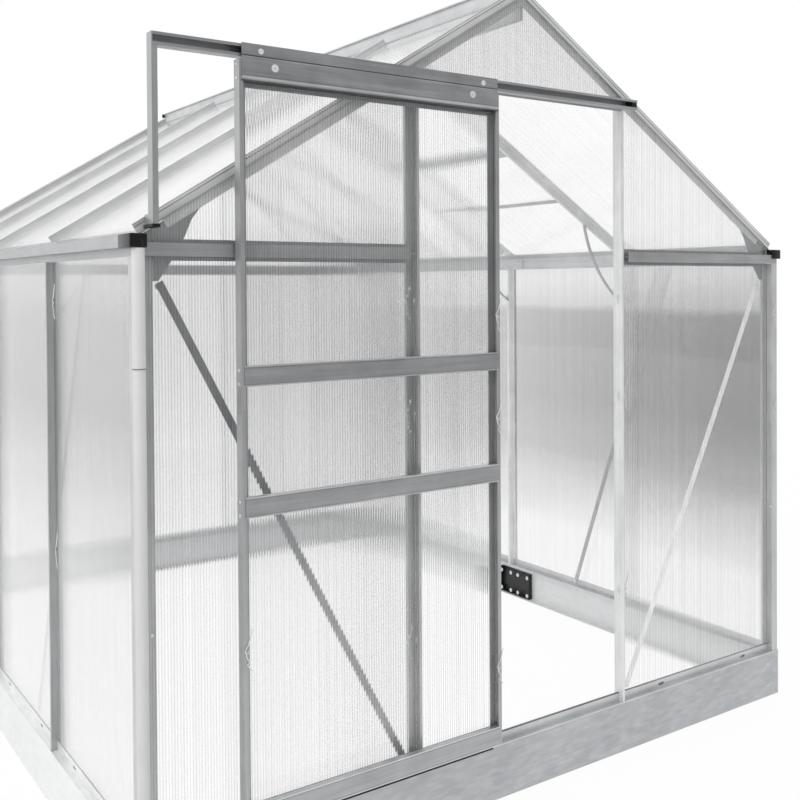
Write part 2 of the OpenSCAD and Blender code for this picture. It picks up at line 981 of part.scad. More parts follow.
// Sill under the low edge of the vent, and a slim purlin lower down the same bay.
module vent_purlins() {
    d = fin_d + lip_t;
    a = -half_l + vent_bay * bay;
    b = a + bay;
    w = web_w / 2 + 0.2;
    f = seat_w / 2 + 0.2;
    color(alu_dark)
        on_slope() {
            block([vent_l - 23, a + w, -d - 2], [vent_l + 18, b - w, -d]);
            block([vent_l - 23, a + f, -d - e], [vent_l + 18, b - f, -fin_d]);
            block([purlin_s, a + w, -d - 2], [purlin_s + purlin_w, b - w, -d]);
        }
}

// ---- track ----

module door_track() {
    a = track_back;
    b = a - 2;
    c = track_front;
    h = track_h;
    l = track_lip;
    color(alu)
        translate([0, -half_l, track_z])
            along_x([[a, 0], [c, 0], [c, l], [c + 2, l], [c + 2, lip_t], [b, lip_t],
                [b, h - lip_t], [c + 2, h - lip_t], [c + 2, h - l], [c, h - l], [c, h],
                [a, h]], track_x0, track_x1);
}

// Angle that props the outer end of the track off the sloping gable bar.
module track_post() {
    x0 = track_x0 - 2;
    low = plane_z(20, track_in);
    color(alu)
        translate([0, -half_l, 0]) {
            block([x0, track_front, low], [track_x0, track_back, track_z + track_h]);
            block([x0, track_front, low], [x0 + post_face, track_front + 2, track_z - 0.3]);
            block([x0, track_back - e, low + 2], [track_x0, seat_in - 0.02, low + 26]);
        }
}

module track_end_cap() {
    color(black)
        translate([0, -half_l, track_z])
            block([track_x1 - 16, track_front + 2.2, lip_t],
                [track_x1, track_back - 2.2, track_h - lip_t - 0.2]);
}

// ---- door ----

// Stile as (x, y) points with its outer side at x = 0: side plate, bead and sheet seat.
module door_stile() {
    y0 = door_y1;
    y1 = stile_y1;
    s = door_seat_y;
    translate([0, -half_l, 0])
        along_z([[0, y0], [stile_head, y0], [stile_head, y0 + 2], [2, y0 + 2], [2, s],
            [stile_seat, s], [stile_seat, s + 2], [2, s + 2], [2, y1], [0, y1]],
            door_z0, door_top);
}

module at_door() {
    translate([door_x, 0, 0])
        children();
}

module door_stiles() {
    color(alu)
        at_door()
            both_x()
                translate([-door_w / 2, 0, 0])
                    door_stile();
}

// Rail with its underside at height z: a face over the stiles, two flanges, a web and a seat.
module door_rail(z, h) {
    w = door_w / 2;
    y1 = door_y1;
    s = door_seat_y;
    face = w - rail_in;
    body = w - stile_head - 0.3;
    seat = w - stile_seat - 0.3;
    translate([0, -half_l, z]) {
        block([-face, door_y0, 0], [face, y1, h]);
        block([-body, y1 - e, h - 2], [body, y1 + 12, h]);
        block([-body, y1 - e, 0], [body, y1 + 12, 2]);
        block([-seat, y1 - e, h / 2 - 1], [seat, s + e, h / 2 + 1]);
        block([-seat, s, 3], [seat, s + 2, h - 3]);
    }
}

rail_z = [door_z0, sill_z + rail_low, sill_z + rail_high];

module door_rails() {
    color(alu_dark)
        at_door() {
            door_rail(rail_z[0], bottom_h);
            door_rail(rail_z[1], rail_h);
            door_rail(rail_z[2], rail_h);
        }
}

hanger_z = hanger_top - hanger_h;

// Hanger plate: it covers the track, carries the rollers and is the top rail of the door.
module door_hanger() {
    w = door_w / 2;
    face = w - 5;
    body = w - stile_head - 0.3;
    seat = w - stile_seat - 0.3;
    s = door_seat_y;
    color(alu_dark)
        at_door()
            translate([0, -half_l, 0]) {
                difference() {
                    block([-face, door_y0, hanger_z], [face, door_y1, hanger_top]);
                    block([-face - 1, door_y0 - 1, hanger_top - 24.5],
                        [face + 1, door_y0 + 0.8, hanger_top - 23]);
                }
                along_x([[door_y0 + e, hanger_z], [door_y0 - 2, hanger_z],
                    [door_y0 - 2, hanger_z + 6.5], [door_y0 + e, hanger_z + 12]], -face, face + 2);
                block([-body, door_y1 - e, hanger_z], [body, s - 0.3, hanger_z + 2]);
                block([-seat, s - 1, hanger_z], [seat, s + 1, hanger_z + 2]);
                block([-seat, s, hanger_z - 10], [seat, s + 2, hanger_z + 20]);
            }
}

module door_roller() {
    y = -half_l + track_back - track_d / 2 - 1;
    translate([0, y - 5, roller_z])
        rotate([-90, 0, 0])
            cylinder(d = roller_d, h = 10);
    translate([0, -half_l + door_y1, roller_z])
        rotate([-90, 0, 0])
            cylinder(d = 6, h = y - 4 + half_l - door_y1);
    block([-32, y - 8, roller_z - 8], [32, y - 5 + e, roller_z + 8]);
}

module door_rollers() {
    x = door_w / 2 - roller_in;
    color(black)
        at_door()
            both_x()
                translate([-x, 0, 0])
                    door_roller();
}

module door_sheets() {
    x = door_w / 2 - 2 - sheet_gap;
    y = -half_l + door_seat_y - sheet_t;
    m = [rail_z[0] + bottom_h / 2 + 2, rail_z[1] + rail_h / 2, rail_z[2] + rail_h / 2];
    z = [[m[0], m[1] - 2], [m[1] + 2, m[2] - 2], [m[2] + 2, hanger_z - 0.5]];
    color(clear_sheet)
        at_door()
            for (r = z)
                block([-x, y, r[0]], [x, y + sheet_t, r[1]]);
}

// Black strip under the bottom rail.
module door_glide() {
    w = door_w / 2 - 25;
    color(black)
        at_door()
            translate([0, -half_l, 0])
                block([-w, door_y0 + 3, door_z0 - 6], [w, door_y1 + 14, door_z0]);
}

base_front();
base_back();
base_left();
base_right();
base_splices();
sill_front();
sill_back();
sill_left();
sill_right();
corner_posts();
wall_posts();
door_jambs();
back_posts();
eave_left();
eave_right();
eave_splices();
gutter_end_caps();
downpipes();
front_cross_bars();
back_cross_bars();
door_header();
front_verge_bars();
back_verge_bars();
ridge_beam();
ridge_end_caps();
roof_bars();
knee_braces();
gable_braces();
wall_braces();
corner_gussets();
left_wall_sheets();
right_wall_sheets();
front_gable_sheets();
back_gable_sheets();
left_roof_sheets();
right_roof_sheets();
vent_frame();
vent_sheet();
vent_purlins();
door_track();
track_post();
track_end_cap();
door_stiles();
door_rails();
door_hanger();
door_rollers();
door_sheets();
door_glide();
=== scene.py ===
# %% [markdown]
# # A small twin-wall greenhouse with a sliding door
# The real thing is a kit: thin aluminium sections bolted together on a galvanised
# steel base, with sheets of clear twin-wall polycarbonate slipped into the sections.
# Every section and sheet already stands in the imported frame, in metres, so this lesson
# only adds what a maker sees close up: the finish of each metal, the ribs inside the
# sheets, the bolts, and the bent wire clips that hold the sheets in.

# %% Load the frame
import math

import bmesh
import bpy
from mathutils import Matrix, Vector


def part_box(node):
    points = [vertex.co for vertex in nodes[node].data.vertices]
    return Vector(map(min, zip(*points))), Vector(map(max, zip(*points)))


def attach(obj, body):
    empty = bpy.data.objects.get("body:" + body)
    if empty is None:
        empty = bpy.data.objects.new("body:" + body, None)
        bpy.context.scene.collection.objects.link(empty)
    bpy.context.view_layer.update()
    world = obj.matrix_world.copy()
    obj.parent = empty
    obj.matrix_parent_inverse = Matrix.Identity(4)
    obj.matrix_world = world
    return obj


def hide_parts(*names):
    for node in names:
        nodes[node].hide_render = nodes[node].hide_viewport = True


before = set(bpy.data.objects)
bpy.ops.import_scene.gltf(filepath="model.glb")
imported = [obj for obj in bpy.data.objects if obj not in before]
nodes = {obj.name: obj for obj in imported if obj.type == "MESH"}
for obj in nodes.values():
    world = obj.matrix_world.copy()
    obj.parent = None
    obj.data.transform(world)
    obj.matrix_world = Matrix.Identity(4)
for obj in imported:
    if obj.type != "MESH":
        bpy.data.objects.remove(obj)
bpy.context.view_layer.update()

# %% [markdown]
# ## The camera
# It stands off the front left corner at about the height of the eaves. A building looks
# right with upright posts, so the lens is shifted down and to the left instead of the
# camera being tilted. The three axes are written out, because that is easier to
# check than three angles.

# %% Camera
def stand_camera(place, yaw, pitch, roll, lens, shift):
    """Yaw turns from +Y towards +X; pitch lifts the view; roll leans it."""
    yaw, pitch, roll = (math.radians(a) for a in (yaw, pitch, roll))
    level = Vector((math.sin(yaw), math.cos(yaw), 0))
    ahead = level * math.cos(pitch) + Vector((0, 0, math.sin(pitch)))
    right = Vector((math.cos(yaw), -math.sin(yaw), 0))
    up = right.cross(ahead)
    side = right * math.cos(roll) + up * math.sin(roll)
    head = up * math.cos(roll) - right * math.sin(roll)
    data = bpy.data.cameras.new("camera")
    data.lens = lens
    data.shift_x, data.shift_y = shift
    data.clip_start = 0.05
    camera = bpy.data.objects.new("camera", data)
    turned = Matrix((side, head, -ahead)).transposed().to_4x4()
    camera.matrix_world = Matrix.Translation(place) @ turned
    bpy.context.scene.collection.objects.link(camera)
    bpy.context.scene.camera = camera
    return camera


camera = stand_camera(place=(-1.5808, -3.2018, 1.2205), yaw=37.285, pitch=-0.872, roll=-0.293,
                      lens=46.821, shift=(-0.12205, -0.12460))
print("camera at", tuple(round(v, 3) for v in camera.matrix_world.translation))

# %% [markdown]
# ## Two helpers for materials
# Colours are written as the hex values that a paint card would give, and one function
# turns them to the linear values that shaders work in. The other helper adds a node,
# sets it and links it in one line, so that a material reads as a short list.

# %% Colour and node helpers
def srgb(code):
    """A hex colour such as #c8cacb as linear red, green, blue and alpha."""
    parts = [int(code[i:i + 2], 16) / 255 for i in (1, 3, 5)]
    return tuple(p / 12.92 if p <= 0.04045 else ((p + 0.055) / 1.055) ** 2.4 for p in parts) + (1.0,)


def add(tree, kind, feeds=None, **settings):
    """One node. A feed is a number, a colour, or another node's output socket."""
    node = tree.nodes.new(kind)
    for name, value in settings.items():
        setattr(node, name, value)
    for socket, value in (feeds or {}).items():
        if isinstance(value, bpy.types.NodeSocket):
            tree.links.new(value, node.inputs[socket])
        else:
            node.inputs[socket].default_value = value
    return node


def maths(tree, operation, a, b=0.5):
    """The result of one Math node."""
    return add(tree, "ShaderNodeMath", {0: a, 1: b}, operation=operation).outputs[0]


def remap(tree, value, start, end, **settings):
    """The result of one Map Range node: start and end are (from, to) pairs."""
    return add(tree, "ShaderNodeMapRange", {"Value": value, "From Min": start[0], "From Max": end[0],
                                            "To Min": start[1], "To Max": end[1]}, **settings).outputs[0]


def empty_material(name):
    material = bpy.data.materials.new(name)
    material.use_nodes = True
    material.node_tree.nodes.clear()
    return material, material.node_tree


MM = 0.001
ROOF_PITCH = math.radians(32.7)
print("white is", srgb("#ffffff"))

# %% [markdown]
# ## Extruded aluminium
# The bars are pushed hot through a steel die and left bare, so they keep a dull silver
# skin with faint lines along their length. A scratch texture could be painted, but the
# lines follow each bar's own direction, so noise that is stretched along the bar gives
# them on every face at once. The lines of a real die are about 0.1 mm apart, too fine
# to show, and are drawn 2.2 mm apart here.

# %% Aluminium
LINE = {"X": (0.12, 0.0022, 0.0022), "Y": (0.0022, 0.12, 0.0022), "Z": (0.0022, 0.0022, 0.12)}


def bar_space(tree, along):
    """Where a point is, measured along the bar and across it."""
    place = add(tree, "ShaderNodeTexCoord").outputs["Object"]
    if along == "slope":
        parts = add(tree, "ShaderNodeSeparateXYZ", {0: place})
        out = maths(tree, "ABSOLUTE", parts.outputs["X"])
        place = add(tree, "ShaderNodeCombineXYZ",
                    {0: out, 1: parts.outputs["Y"], 2: parts.outputs["Z"]}).outputs[0]
        place = add(tree, "ShaderNodeMapping", {"Vector": place, "Rotation": (0, -ROOF_PITCH, 0)}).outputs[0]
    return place


def aluminium(name, colour, along, roughness, contrast=0.22, metallic=0.65, edges=(), right=None):
    """Edges are (height, half width, level): a line painted along a rail at a groove or a bevel,
    painted shade where it is dark and a painted highlight where it is bright. Right is the
    (colour, metallic) of the bars on the right-hand side: a painted lit copy of the same metal."""
    material, tree = empty_material(name)
    place = bar_space(tree, along)
    pitch_of = LINE["X" if along == "slope" else along]
    fine = add(tree, "ShaderNodeMapping", {"Vector": place, "Scale": tuple(1 / p for p in pitch_of)})
    lines = add(tree, "ShaderNodeTexNoise", {"Vector": fine.outputs[0], "Scale": 1.0, "Detail": 3.0})
    broad = add(tree, "ShaderNodeMapping",
                {"Vector": place, "Scale": tuple(1 / (p * 8 if p < 0.1 else p * 2) for p in pitch_of)})
    bands = add(tree, "ShaderNodeTexNoise", {"Vector": broad.outputs[0], "Scale": 1.0, "Detail": 2.0})
    handled = add(tree, "ShaderNodeTexNoise", {"Vector": place, "Scale": 14.0, "Detail": 4.0})
    both = maths(tree, "ADD", lines.outputs["Fac"], bands.outputs["Fac"])
    wear = maths(tree, "ADD", both, handled.outputs["Fac"])
    tone = remap(tree, wear, (1.0, 1 - contrast), (2.0, 1 + contrast * 0.5))
    height = add(tree, "ShaderNodeSeparateXYZ", {0: place}).outputs["Z"]
    for z, half, shade in edges:
        off = maths(tree, "ABSOLUTE", maths(tree, "SUBTRACT", height, z))
        near = remap(tree, off, (half * 0.6, shade), (half, 1.0))
        tone = maths(tree, "MULTIPLY", tone, near)
    paint = srgb(colour)[:3]
    # Painted light: from left to right the bars pass over to the paler, lit copy.
    if right:
        side = add(tree, "ShaderNodeSeparateXYZ", {0: add(tree, "ShaderNodeTexCoord").outputs["Object"]})
        run = remap(tree, side.outputs["X"], (-0.05, 0.0), (0.05, 1.0))
        metallic = add(tree, "ShaderNodeMix", {"Factor": run, 2: metallic, 3: right[1]}).outputs[0]
        paint = add(tree, "ShaderNodeMix", {"Factor": run, 6: srgb(colour), 7: srgb(right[0])},
                    data_type="RGBA").outputs[2]
    tint = add(tree, "ShaderNodeVectorMath", {0: paint, "Scale": tone}, operation="SCALE")
    rough = remap(tree, wear, (1.0, roughness - 0.06), (2.0, roughness + 0.08))
    relief = add(tree, "ShaderNodeBump", {"Height": lines.outputs["Fac"], "Strength": 0.25,
                                          "Distance": 0.15 * MM})
    metal = add(tree, "ShaderNodeBsdfPrincipled",
                {"Base Color": tint.outputs[0], "Metallic": metallic, "Roughness": rough,
                 "Normal": relief.outputs[0]})
    add(tree, "ShaderNodeOutputMaterial", {"Surface": metal.outputs[0]})
    return material


# Bare extruded sections: soft silver, no edge to their shine.
post_metal = aluminium("extruded_aluminium_upright", "#c8cacb", "Z", 0.40)
# The jambs and wall posts on the right are painted paler and less metallic: painted light on the same metal.
jamb_metal = aluminium("extruded_aluminium_jambs", "#c8cacb", "Z", 0.40, right=("#e9eaea", 0.35))
wall_post_metal = aluminium("extruded_aluminium_wall_posts", "#c4c6c7", "Z", 0.40, right=("#eff0f0", 0.35))
corner_metal = aluminium("extruded_aluminium_corners", "#c9cbcc", "Z", 0.42, metallic=0.5)
long_metal = aluminium("extruded_aluminium_lengthwise", "#d8dadb", "Y", 0.40)
sill_metal = aluminium("extruded_aluminium_crosswise", "#d8dadb", "X", 0.40)
# The left sill is painted paler and less metallic than the right one: painted light on the same section.
left_sill_metal = aluminium("extruded_aluminium_left_sill", "#f4f5f5", "Y", 0.40, metallic=0.25)
# The left eave is painted darker and more metallic than the right one: painted shade on the same section.
eave_metal = aluminium("extruded_aluminium_eaves", "#bfc1c3", "Y", 0.40, metallic=0.8)
verge_top = max(abs(v.co.x) * math.sin(ROOF_PITCH) + v.co.z * math.cos(ROOF_PITCH)
                for v in nodes["front_verge_bars"].data.vertices)
# The lines along the top of the verge bars are painted: painted highlights on the bevels, painted shade in
# the grooves.
verge_metal = aluminium("extruded_aluminium_gable_slopes", "#eceded", "slope", 0.40, edges=[
    (verge_top - 0.5 * MM, 1.6 * MM, 0.55), (verge_top - 3.5 * MM, 1.8 * MM, 1.25),
    (verge_top - 7.0 * MM, 1.6 * MM, 0.5), (verge_top - 21 * MM, 1.6 * MM, 0.55)])
# The roof bars and vent frame are painted almost white: painted light on the metal that faces the sky.
roof_metal = aluminium("extruded_aluminium_roof_bars", "#f0f1f1", "slope", 0.42, metallic=0.5)
# Flat and folded bar rolled from sheet: a shade darker and smoother than the sections.
brace_metal = aluminium("rolled_aluminium_braces", "#bcbec0", "Z", 0.34, metallic=0.85)
lintel_metal = aluminium("rolled_aluminium_cross_bars", "#c0c2c4", "X", 0.38, metallic=0.85)
# The gable braces are painted dark on the left and white on the right: painted shade and painted light on
# one flat bar.
gable_brace_metal = aluminium("rolled_aluminium_gable_braces", "#a8aaac", "Z", 0.34, metallic=0.85,
                              right=("#ffffff", 0.10))
purlin_metal = aluminium("rolled_aluminium_purlins", "#c9cbcd", "Y", 0.38, metallic=0.8)
# The door's own sections, thicker, with a satin face.
stile_metal = aluminium("satin_aluminium_door_uprights", "#b1b3b4", "Z", 0.38)
print("aluminium finishes:", len([m for m in bpy.data.materials if "aluminium" in m.name]))

# %% [markdown]
# ## Edge lines on the door
# The hanger plate and the rails are thick sections with a groove and small bevels along
# their edges. A bevel of half a millimetre is too small for the mesh, yet the eye
# sees its bright or dark line at once, so these lines are painted into the finish at their
# height: painted highlights on the bevels and painted shade in the groove and under the lip.
# One node holds all three rails, so its mesh is first split into its separate solids.

# %% Edge lines
def islands(node):
    """The boxes of a node's separate solids, as (low corner, high corner)."""
    mesh = nodes[node].data
    found = {}
    parent = list(range(len(mesh.vertices)))

    def root(i):
        while parent[i] != i:
            parent[i] = parent[parent[i]]
            i = parent[i]
        return i

    same = {}
    for v in mesh.vertices:
        key = tuple(round(c, 6) for c in v.co)
        parent[v.index] = root(same.setdefault(key, v.index))
    for edge in mesh.edges:
        parent[root(edge.vertices[0])] = root(edge.vertices[1])
    for v in mesh.vertices:
        found.setdefault(root(v.index), []).append(v.co)
    return [(Vector(map(min, *points)), Vector(map(max, *points))) for points in found.values()]


rails = sorted(islands("door_rails"), key=lambda pair: pair[0].z)
hanger_low, hanger_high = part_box("door_hanger")
hanger_foot = hanger_high.z - 74 * MM
# Painted shade in the hanger's groove and under its lip, with painted highlights on the edges beside them.
hanger_metal = aluminium(
    "satin_aluminium_door_hanger", "#b8babc", "X", 0.40, contrast=0.34, metallic=0.85, edges=[
        (hanger_high.z - 23.8 * MM, 1.6 * MM, 0.42), (hanger_high.z - 26.2 * MM, 1.2 * MM, 1.25),
        (hanger_foot + 11 * MM, 1.8 * MM, 0.62), (hanger_foot + 6 * MM, 3.0 * MM, 1.45),
        (hanger_foot + 0.5 * MM, 1.6 * MM, 0.35)])
# Each rail gets a painted highlight on its top and bottom bevels and painted shade just inside them.
rail_edges = []
for low, high in rails:
    rail_edges += [(high.z - 1.2 * MM, 1.6 * MM, 1.6), (high.z - 4.2 * MM, 1.2 * MM, 0.75),
                   (low.z + 1.2 * MM, 1.6 * MM, 1.5), (low.z + 4.0 * MM, 1.2 * MM, 0.8)]
rail_metal = aluminium("satin_aluminium_door_rails", "#b2b4b6", "X", 0.40, contrast=0.30,
                       metallic=0.85, edges=rail_edges)
print("edge lines:", 5 + len(rail_edges))

# %% [markdown]
# ## Galvanised steel
# The base is folded from steel sheet that was dipped in molten zinc. The zinc freezes in
# flat crystals a few millimetres to a few centimetres wide, which roll out into
# streaks along the strip. A Voronoi texture gives each crystal its own tone, and noise
# stretched along the strip gives the rolling streaks.

# %% Galvanised steel
def galvanised(name, along, dull, bright, metallic):
    material, tree = empty_material(name)
    place = add(tree, "ShaderNodeTexCoord").outputs["Object"]

    def rolled(long, short):
        """The place, squeezed so that a pattern is long along the strip and short across it."""
        size = (long, short, short) if along == "X" else (short, long, short)
        return add(tree, "ShaderNodeMapping", {"Vector": place, "Scale": tuple(1 / s for s in size)})

    crystal_space = rolled(26 * MM, 9 * MM)
    crystals = add(tree, "ShaderNodeTexVoronoi", {"Vector": crystal_space.outputs[0], "Scale": 1.0,
                                                  "Randomness": 1.0}, feature="SMOOTH_F1")
    grey = add(tree, "ShaderNodeSeparateColor", {0: crystals.outputs["Color"]})
    streak_space = rolled(180 * MM, 5 * MM)
    streaks = add(tree, "ShaderNodeTexNoise",
                  {"Vector": streak_space.outputs[0], "Scale": 1.0, "Detail": 5.0})
    clouds = add(tree, "ShaderNodeTexNoise", {"Vector": place, "Scale": 9.0, "Detail": 5.0})
    mixed = add(tree, "ShaderNodeMix", {"Factor": 0.55, 2: grey.outputs[0], 3: streaks.outputs["Fac"]})
    mixed = add(tree, "ShaderNodeMix", {"Factor": 0.35, 2: mixed.outputs[0], 3: clouds.outputs["Fac"]})
    colour = add(tree, "ShaderNodeMix", {"Factor": mixed.outputs[0], 6: srgb(dull), 7: srgb(bright)},
                 data_type="RGBA")
    rough = remap(tree, mixed.outputs[0], (0.0, 0.34), (1.0, 0.62))
    relief = add(tree, "ShaderNodeBump", {"Height": mixed.outputs[0], "Strength": 0.2, "Distance": 0.4 * MM})
    zinc = add(tree, "ShaderNodeBsdfPrincipled",
               {"Base Color": colour.outputs[2], "Metallic": metallic, "Roughness": rough,
                "Normal": relief.outputs[0]})
    add(tree, "ShaderNodeOutputMaterial", {"Surface": zinc.outputs[0]})
    return material


# The long strips are painted paler and the front one darker: painted light and shade on the same zinc; the
# back one lies between.
base_cross_zinc = galvanised("galvanised_steel_base_crosswise", "X", "#94979a", "#dcdee0", 0.7)
base_back_zinc = galvanised("galvanised_steel_base_back", "X", "#c8cacc", "#f0f1f2", 0.4)
base_long_zinc = galvanised("galvanised_steel_base_lengthwise", "Y", "#dcdedf", "#fbfbfb", 0.25)
print("galvanised finishes:", len([m for m in bpy.data.materials if "galvanised" in m.name]))

# %% [markdown]
# ## Plastics
# The gutter ends, ridge ends, rollers and the strip under the door are moulded in black
# polypropylene, with the fine grain of the mould. The downpipes are white PVC, drawn
# through a die, so their faint lines run down the pipe.

# %% Black and white plastics
def moulded(name, colour, roughness, grain, stretch=(1, 1, 1), spread=0.10, ior=1.49, metallic=0.0):
    """Grain is the width of its specks; stretch draws them out along an axis."""
    material, tree = empty_material(name)
    place = add(tree, "ShaderNodeTexCoord").outputs["Object"]
    space = add(tree, "ShaderNodeMapping", {"Vector": place, "Scale": tuple(s / grain for s in stretch)})
    grains = add(tree, "ShaderNodeTexNoise", {"Vector": space.outputs[0], "Scale": 1.0, "Detail": 3.0})
    cloud = add(tree, "ShaderNodeTexNoise", {"Vector": place, "Scale": 18.0, "Detail": 3.0})
    mixed = add(tree, "ShaderNodeMix", {"Factor": 0.5, 2: grains.outputs["Fac"], 3: cloud.outputs["Fac"]})
    tone = remap(tree, mixed.outputs[0], (0.3, 1 - spread), (0.7, 1 + spread))
    tint = add(tree, "ShaderNodeVectorMath", {0: srgb(colour)[:3], "Scale": tone}, operation="SCALE")
    rough = remap(tree, mixed.outputs[0], (0.0, roughness - 0.08), (1.0, roughness + 0.08))
    relief = add(tree, "ShaderNodeBump", {"Height": grains.outputs["Fac"], "Strength": 0.3,
                                          "Distance": 0.2 * MM})
    body = add(tree, "ShaderNodeBsdfPrincipled",
               {"Base Color": tint.outputs[0], "Roughness": rough, "IOR": ior, "Metallic": metallic,
                "Normal": relief.outputs[0]})
    add(tree, "ShaderNodeOutputMaterial", {"Surface": body.outputs[0]})
    return material


# Moulded polypropylene: deep black, half gloss. Drawn PVC: plain white, half gloss.
black_moulding = moulded("moulded_black_polypropylene", "#08090a", 0.30, 1.2 * MM, spread=0.25)
white_pipe = moulded("drawn_white_pvc", "#c8c9c8", 0.35, 2.0 * MM, stretch=(1, 1, 0.02), spread=0.05)
# The joint plates of the base are stove painted black.
black_paint = moulded("stove_painted_black_steel", "#1b1c1e", 0.42, 1.0 * MM, spread=0.20)
print("plastics and paint: 3")

# %% [markdown]
# ## Twin-wall polycarbonate
# A sheet is two clear skins joined by thin upright walls every 6 mm, all made in one
# pass through a die. Light goes through, but each little channel acts as a lens, so
# that what stands far behind smears sideways and only what touches the sheet shows.
# The skins are smooth and clear. Their normals swing from side to side across each
# channel, which bends the view sideways only, as the real channels do. Lamps shine
# through, because shadow rays are let past.

# %% Twin-wall sheet
RIB_PITCH = 6 * MM
TONED_TO = 2.0  # the height, in metres, up to which the tones of a sheet are given


def twin_wall(name, across, tones, haze=0.01, lens=0.06, far=1.0, wall=0.85):
    """Tones are (height, colour) stops of painted shade and painted reflection; far is the share of
    them left at the back; lens is how strongly a channel bends the view; wall is how much
    light passes over an inner wall."""
    material, tree = empty_material(name)
    place = add(tree, "ShaderNodeTexCoord").outputs["Object"]
    parts = add(tree, "ShaderNodeSeparateXYZ", {0: place})
    geometry = add(tree, "ShaderNodeNewGeometry")
    outer = maths(tree, "SUBTRACT", 1.0, geometry.outputs["Backfacing"])
    # The channels: a ray is bent sideways once, where it goes in, and least at a wall.
    phase = maths(tree, "MULTIPLY", parts.outputs[across], 2 * math.pi / RIB_PITCH)
    slope = maths(tree, "MULTIPLY", maths(tree, "SINE", phase), lens)
    tilt = add(tree, "ShaderNodeCombineXYZ", {across: maths(tree, "MULTIPLY", slope, outer)})
    tilted = add(tree, "ShaderNodeVectorMath", {0: geometry.outputs["Normal"], 1: tilt.outputs[0]},
                 operation="ADD")
    normal = add(tree, "ShaderNodeVectorMath", {0: tilted.outputs[0]}, operation="NORMALIZE")
    # The skin is a little thicker over each wall, so a fine grey line stands there.
    line = remap(tree, maths(tree, "COSINE", phase), (0.0, 1.0), (1.0, wall))
    # Streaks: long along the channels, a few channels wide.
    wide = {"X": (1 / 0.007, 1, 0.3), "Y": (1, 1 / 0.007, 0.3)}[across]
    streak_space = add(tree, "ShaderNodeMapping", {"Vector": place, "Scale": wide})
    streaks = add(tree, "ShaderNodeTexNoise",
                  {"Vector": streak_space.outputs[0], "Scale": 1.0, "Detail": 3.0})
    # Clouds: wide and low, so that the painted grey comes in soft level bands.
    cloud_space = add(tree, "ShaderNodeMapping", {"Vector": place, "Scale": (1.0, 1.0, 9.0)})
    clouds = add(tree, "ShaderNodeTexNoise", {"Vector": cloud_space.outputs[0], "Scale": 1.0, "Detail": 2.0})
    drift = remap(tree, clouds.outputs["Fac"], (0.3, -12 * MM), (0.7, 12 * MM))
    height = maths(tree, "ADD", parts.outputs["Z"], drift)
    # The grey by height is painted shade and reflection, faded towards the back.
    ramp = add(tree, "ShaderNodeValToRGB", {"Fac": remap(tree, height, (0.0, 0.0), (TONED_TO, 1.0))})
    for i, (z, code) in enumerate(tones):
        stop = ramp.color_ramp.elements[i] if i < 2 else ramp.color_ramp.elements.new(z / TONED_TO)
        stop.position = z / TONED_TO
        stop.color = srgb(code)
    depth = remap(tree, parts.outputs["Y"], (-1.1, 0.0), (1.1, 1 - far))
    painted_shade = add(tree, "ShaderNodeMix", {"Factor": depth, 6: ramp.outputs[0], 7: (1, 1, 1, 1)},
                data_type="RGBA")
    lit = maths(tree, "MULTIPLY", remap(tree, streaks.outputs["Fac"], (0.3, 0.95), (0.7, 1.03)), line)
    tint = add(tree, "ShaderNodeVectorMath", {0: painted_shade.outputs[2], "Scale": lit}, operation="SCALE")
    # Each side of a sheet takes the root of its colour. Only the side that a ray meets
    # first is toned here, so it takes the square.
    full = add(tree, "ShaderNodeVectorMath", {0: tint.outputs[0], 1: tint.outputs[0]}, operation="MULTIPLY")
    once = add(tree, "ShaderNodeMix", {"Factor": outer, 6: (1, 1, 1, 1), 7: full.outputs[0]},
               data_type="RGBA")
    skin = add(tree, "ShaderNodeBsdfPrincipled",
               {"Base Color": once.outputs[2], "Roughness": 0.04, "IOR": 1.38,
                "Transmission Weight": 1 - haze, "Normal": normal.outputs[0]})
    # A sheet lies flush on its seat, as if wet, and would keep the light that the seat sends
    # back. So lamps, and light that has met metal already, go straight through.
    rays = add(tree, "ShaderNodeLightPath")
    met = maths(tree, "ADD", rays.outputs["Glossy Depth"], rays.outputs["Diffuse Depth"])
    straight = maths(tree, "GREATER_THAN", maths(tree, "ADD", met, rays.outputs["Is Shadow Ray"]), 0.5)
    past = add(tree, "ShaderNodeBsdfTransparent", {"Color": (0.95, 0.95, 0.95, 1)})
    shown = add(tree, "ShaderNodeMixShader", {0: straight, 1: skin.outputs[0], 2: past.outputs[0]})
    add(tree, "ShaderNodeOutputMaterial", {"Surface": shown.outputs[0]})
    return material


# The grey of each side is painted shade and painted reflection, so each side has its own
# tones. The gables are almost clear. The long walls are painted clear at the foot and
# greyest about a metre up.
FRONT_SHADE = [(0.15, "#ffffff"), (0.55, "#fcfcfc"), (0.95, "#f4f4f4"), (1.24, "#f3f3f3"), (1.36, "#ffffff"),
         (1.60, "#ffffff"), (1.72, "#ececec"), (1.90, "#e6e6e6")]
LEFT_SHADE = [(0.15, "#ffffff"), (0.60, "#f8f8f8"), (0.95, "#cccccc"), (1.14, "#d2d2d2"), (1.22, "#e2e2e2"),
        (1.90, "#f0f0f0")]
SHADED = [(0.10, "#ffffff"), (0.32, "#fcfcfc"), (0.46, "#dedede"), (0.62, "#b0b0b0"), (0.80, "#9c9c9c"),
          (0.985, "#a2a2a2"), (0.995, "#989898"), (1.115, "#a0a0a0"), (1.14, "#d0d0d0"), (1.25, "#ececec")]
gable_sheet = twin_wall("twin_wall_polycarbonate_gables", "X", FRONT_SHADE)
door_sheet = twin_wall("twin_wall_polycarbonate_door", "X", FRONT_SHADE, lens=0.11)
left_sheet = twin_wall("twin_wall_polycarbonate_left_wall", "Y", LEFT_SHADE, far=0.9)
right_sheet = twin_wall("twin_wall_polycarbonate_right_wall", "Y", SHADED, far=0.2)
roof_sheet = twin_wall("twin_wall_polycarbonate_roof", "Y", [(0.2, "#ffffff"), (1.9, "#ffffff")], haze=0.0,
                       lens=0.03, wall=0.95)


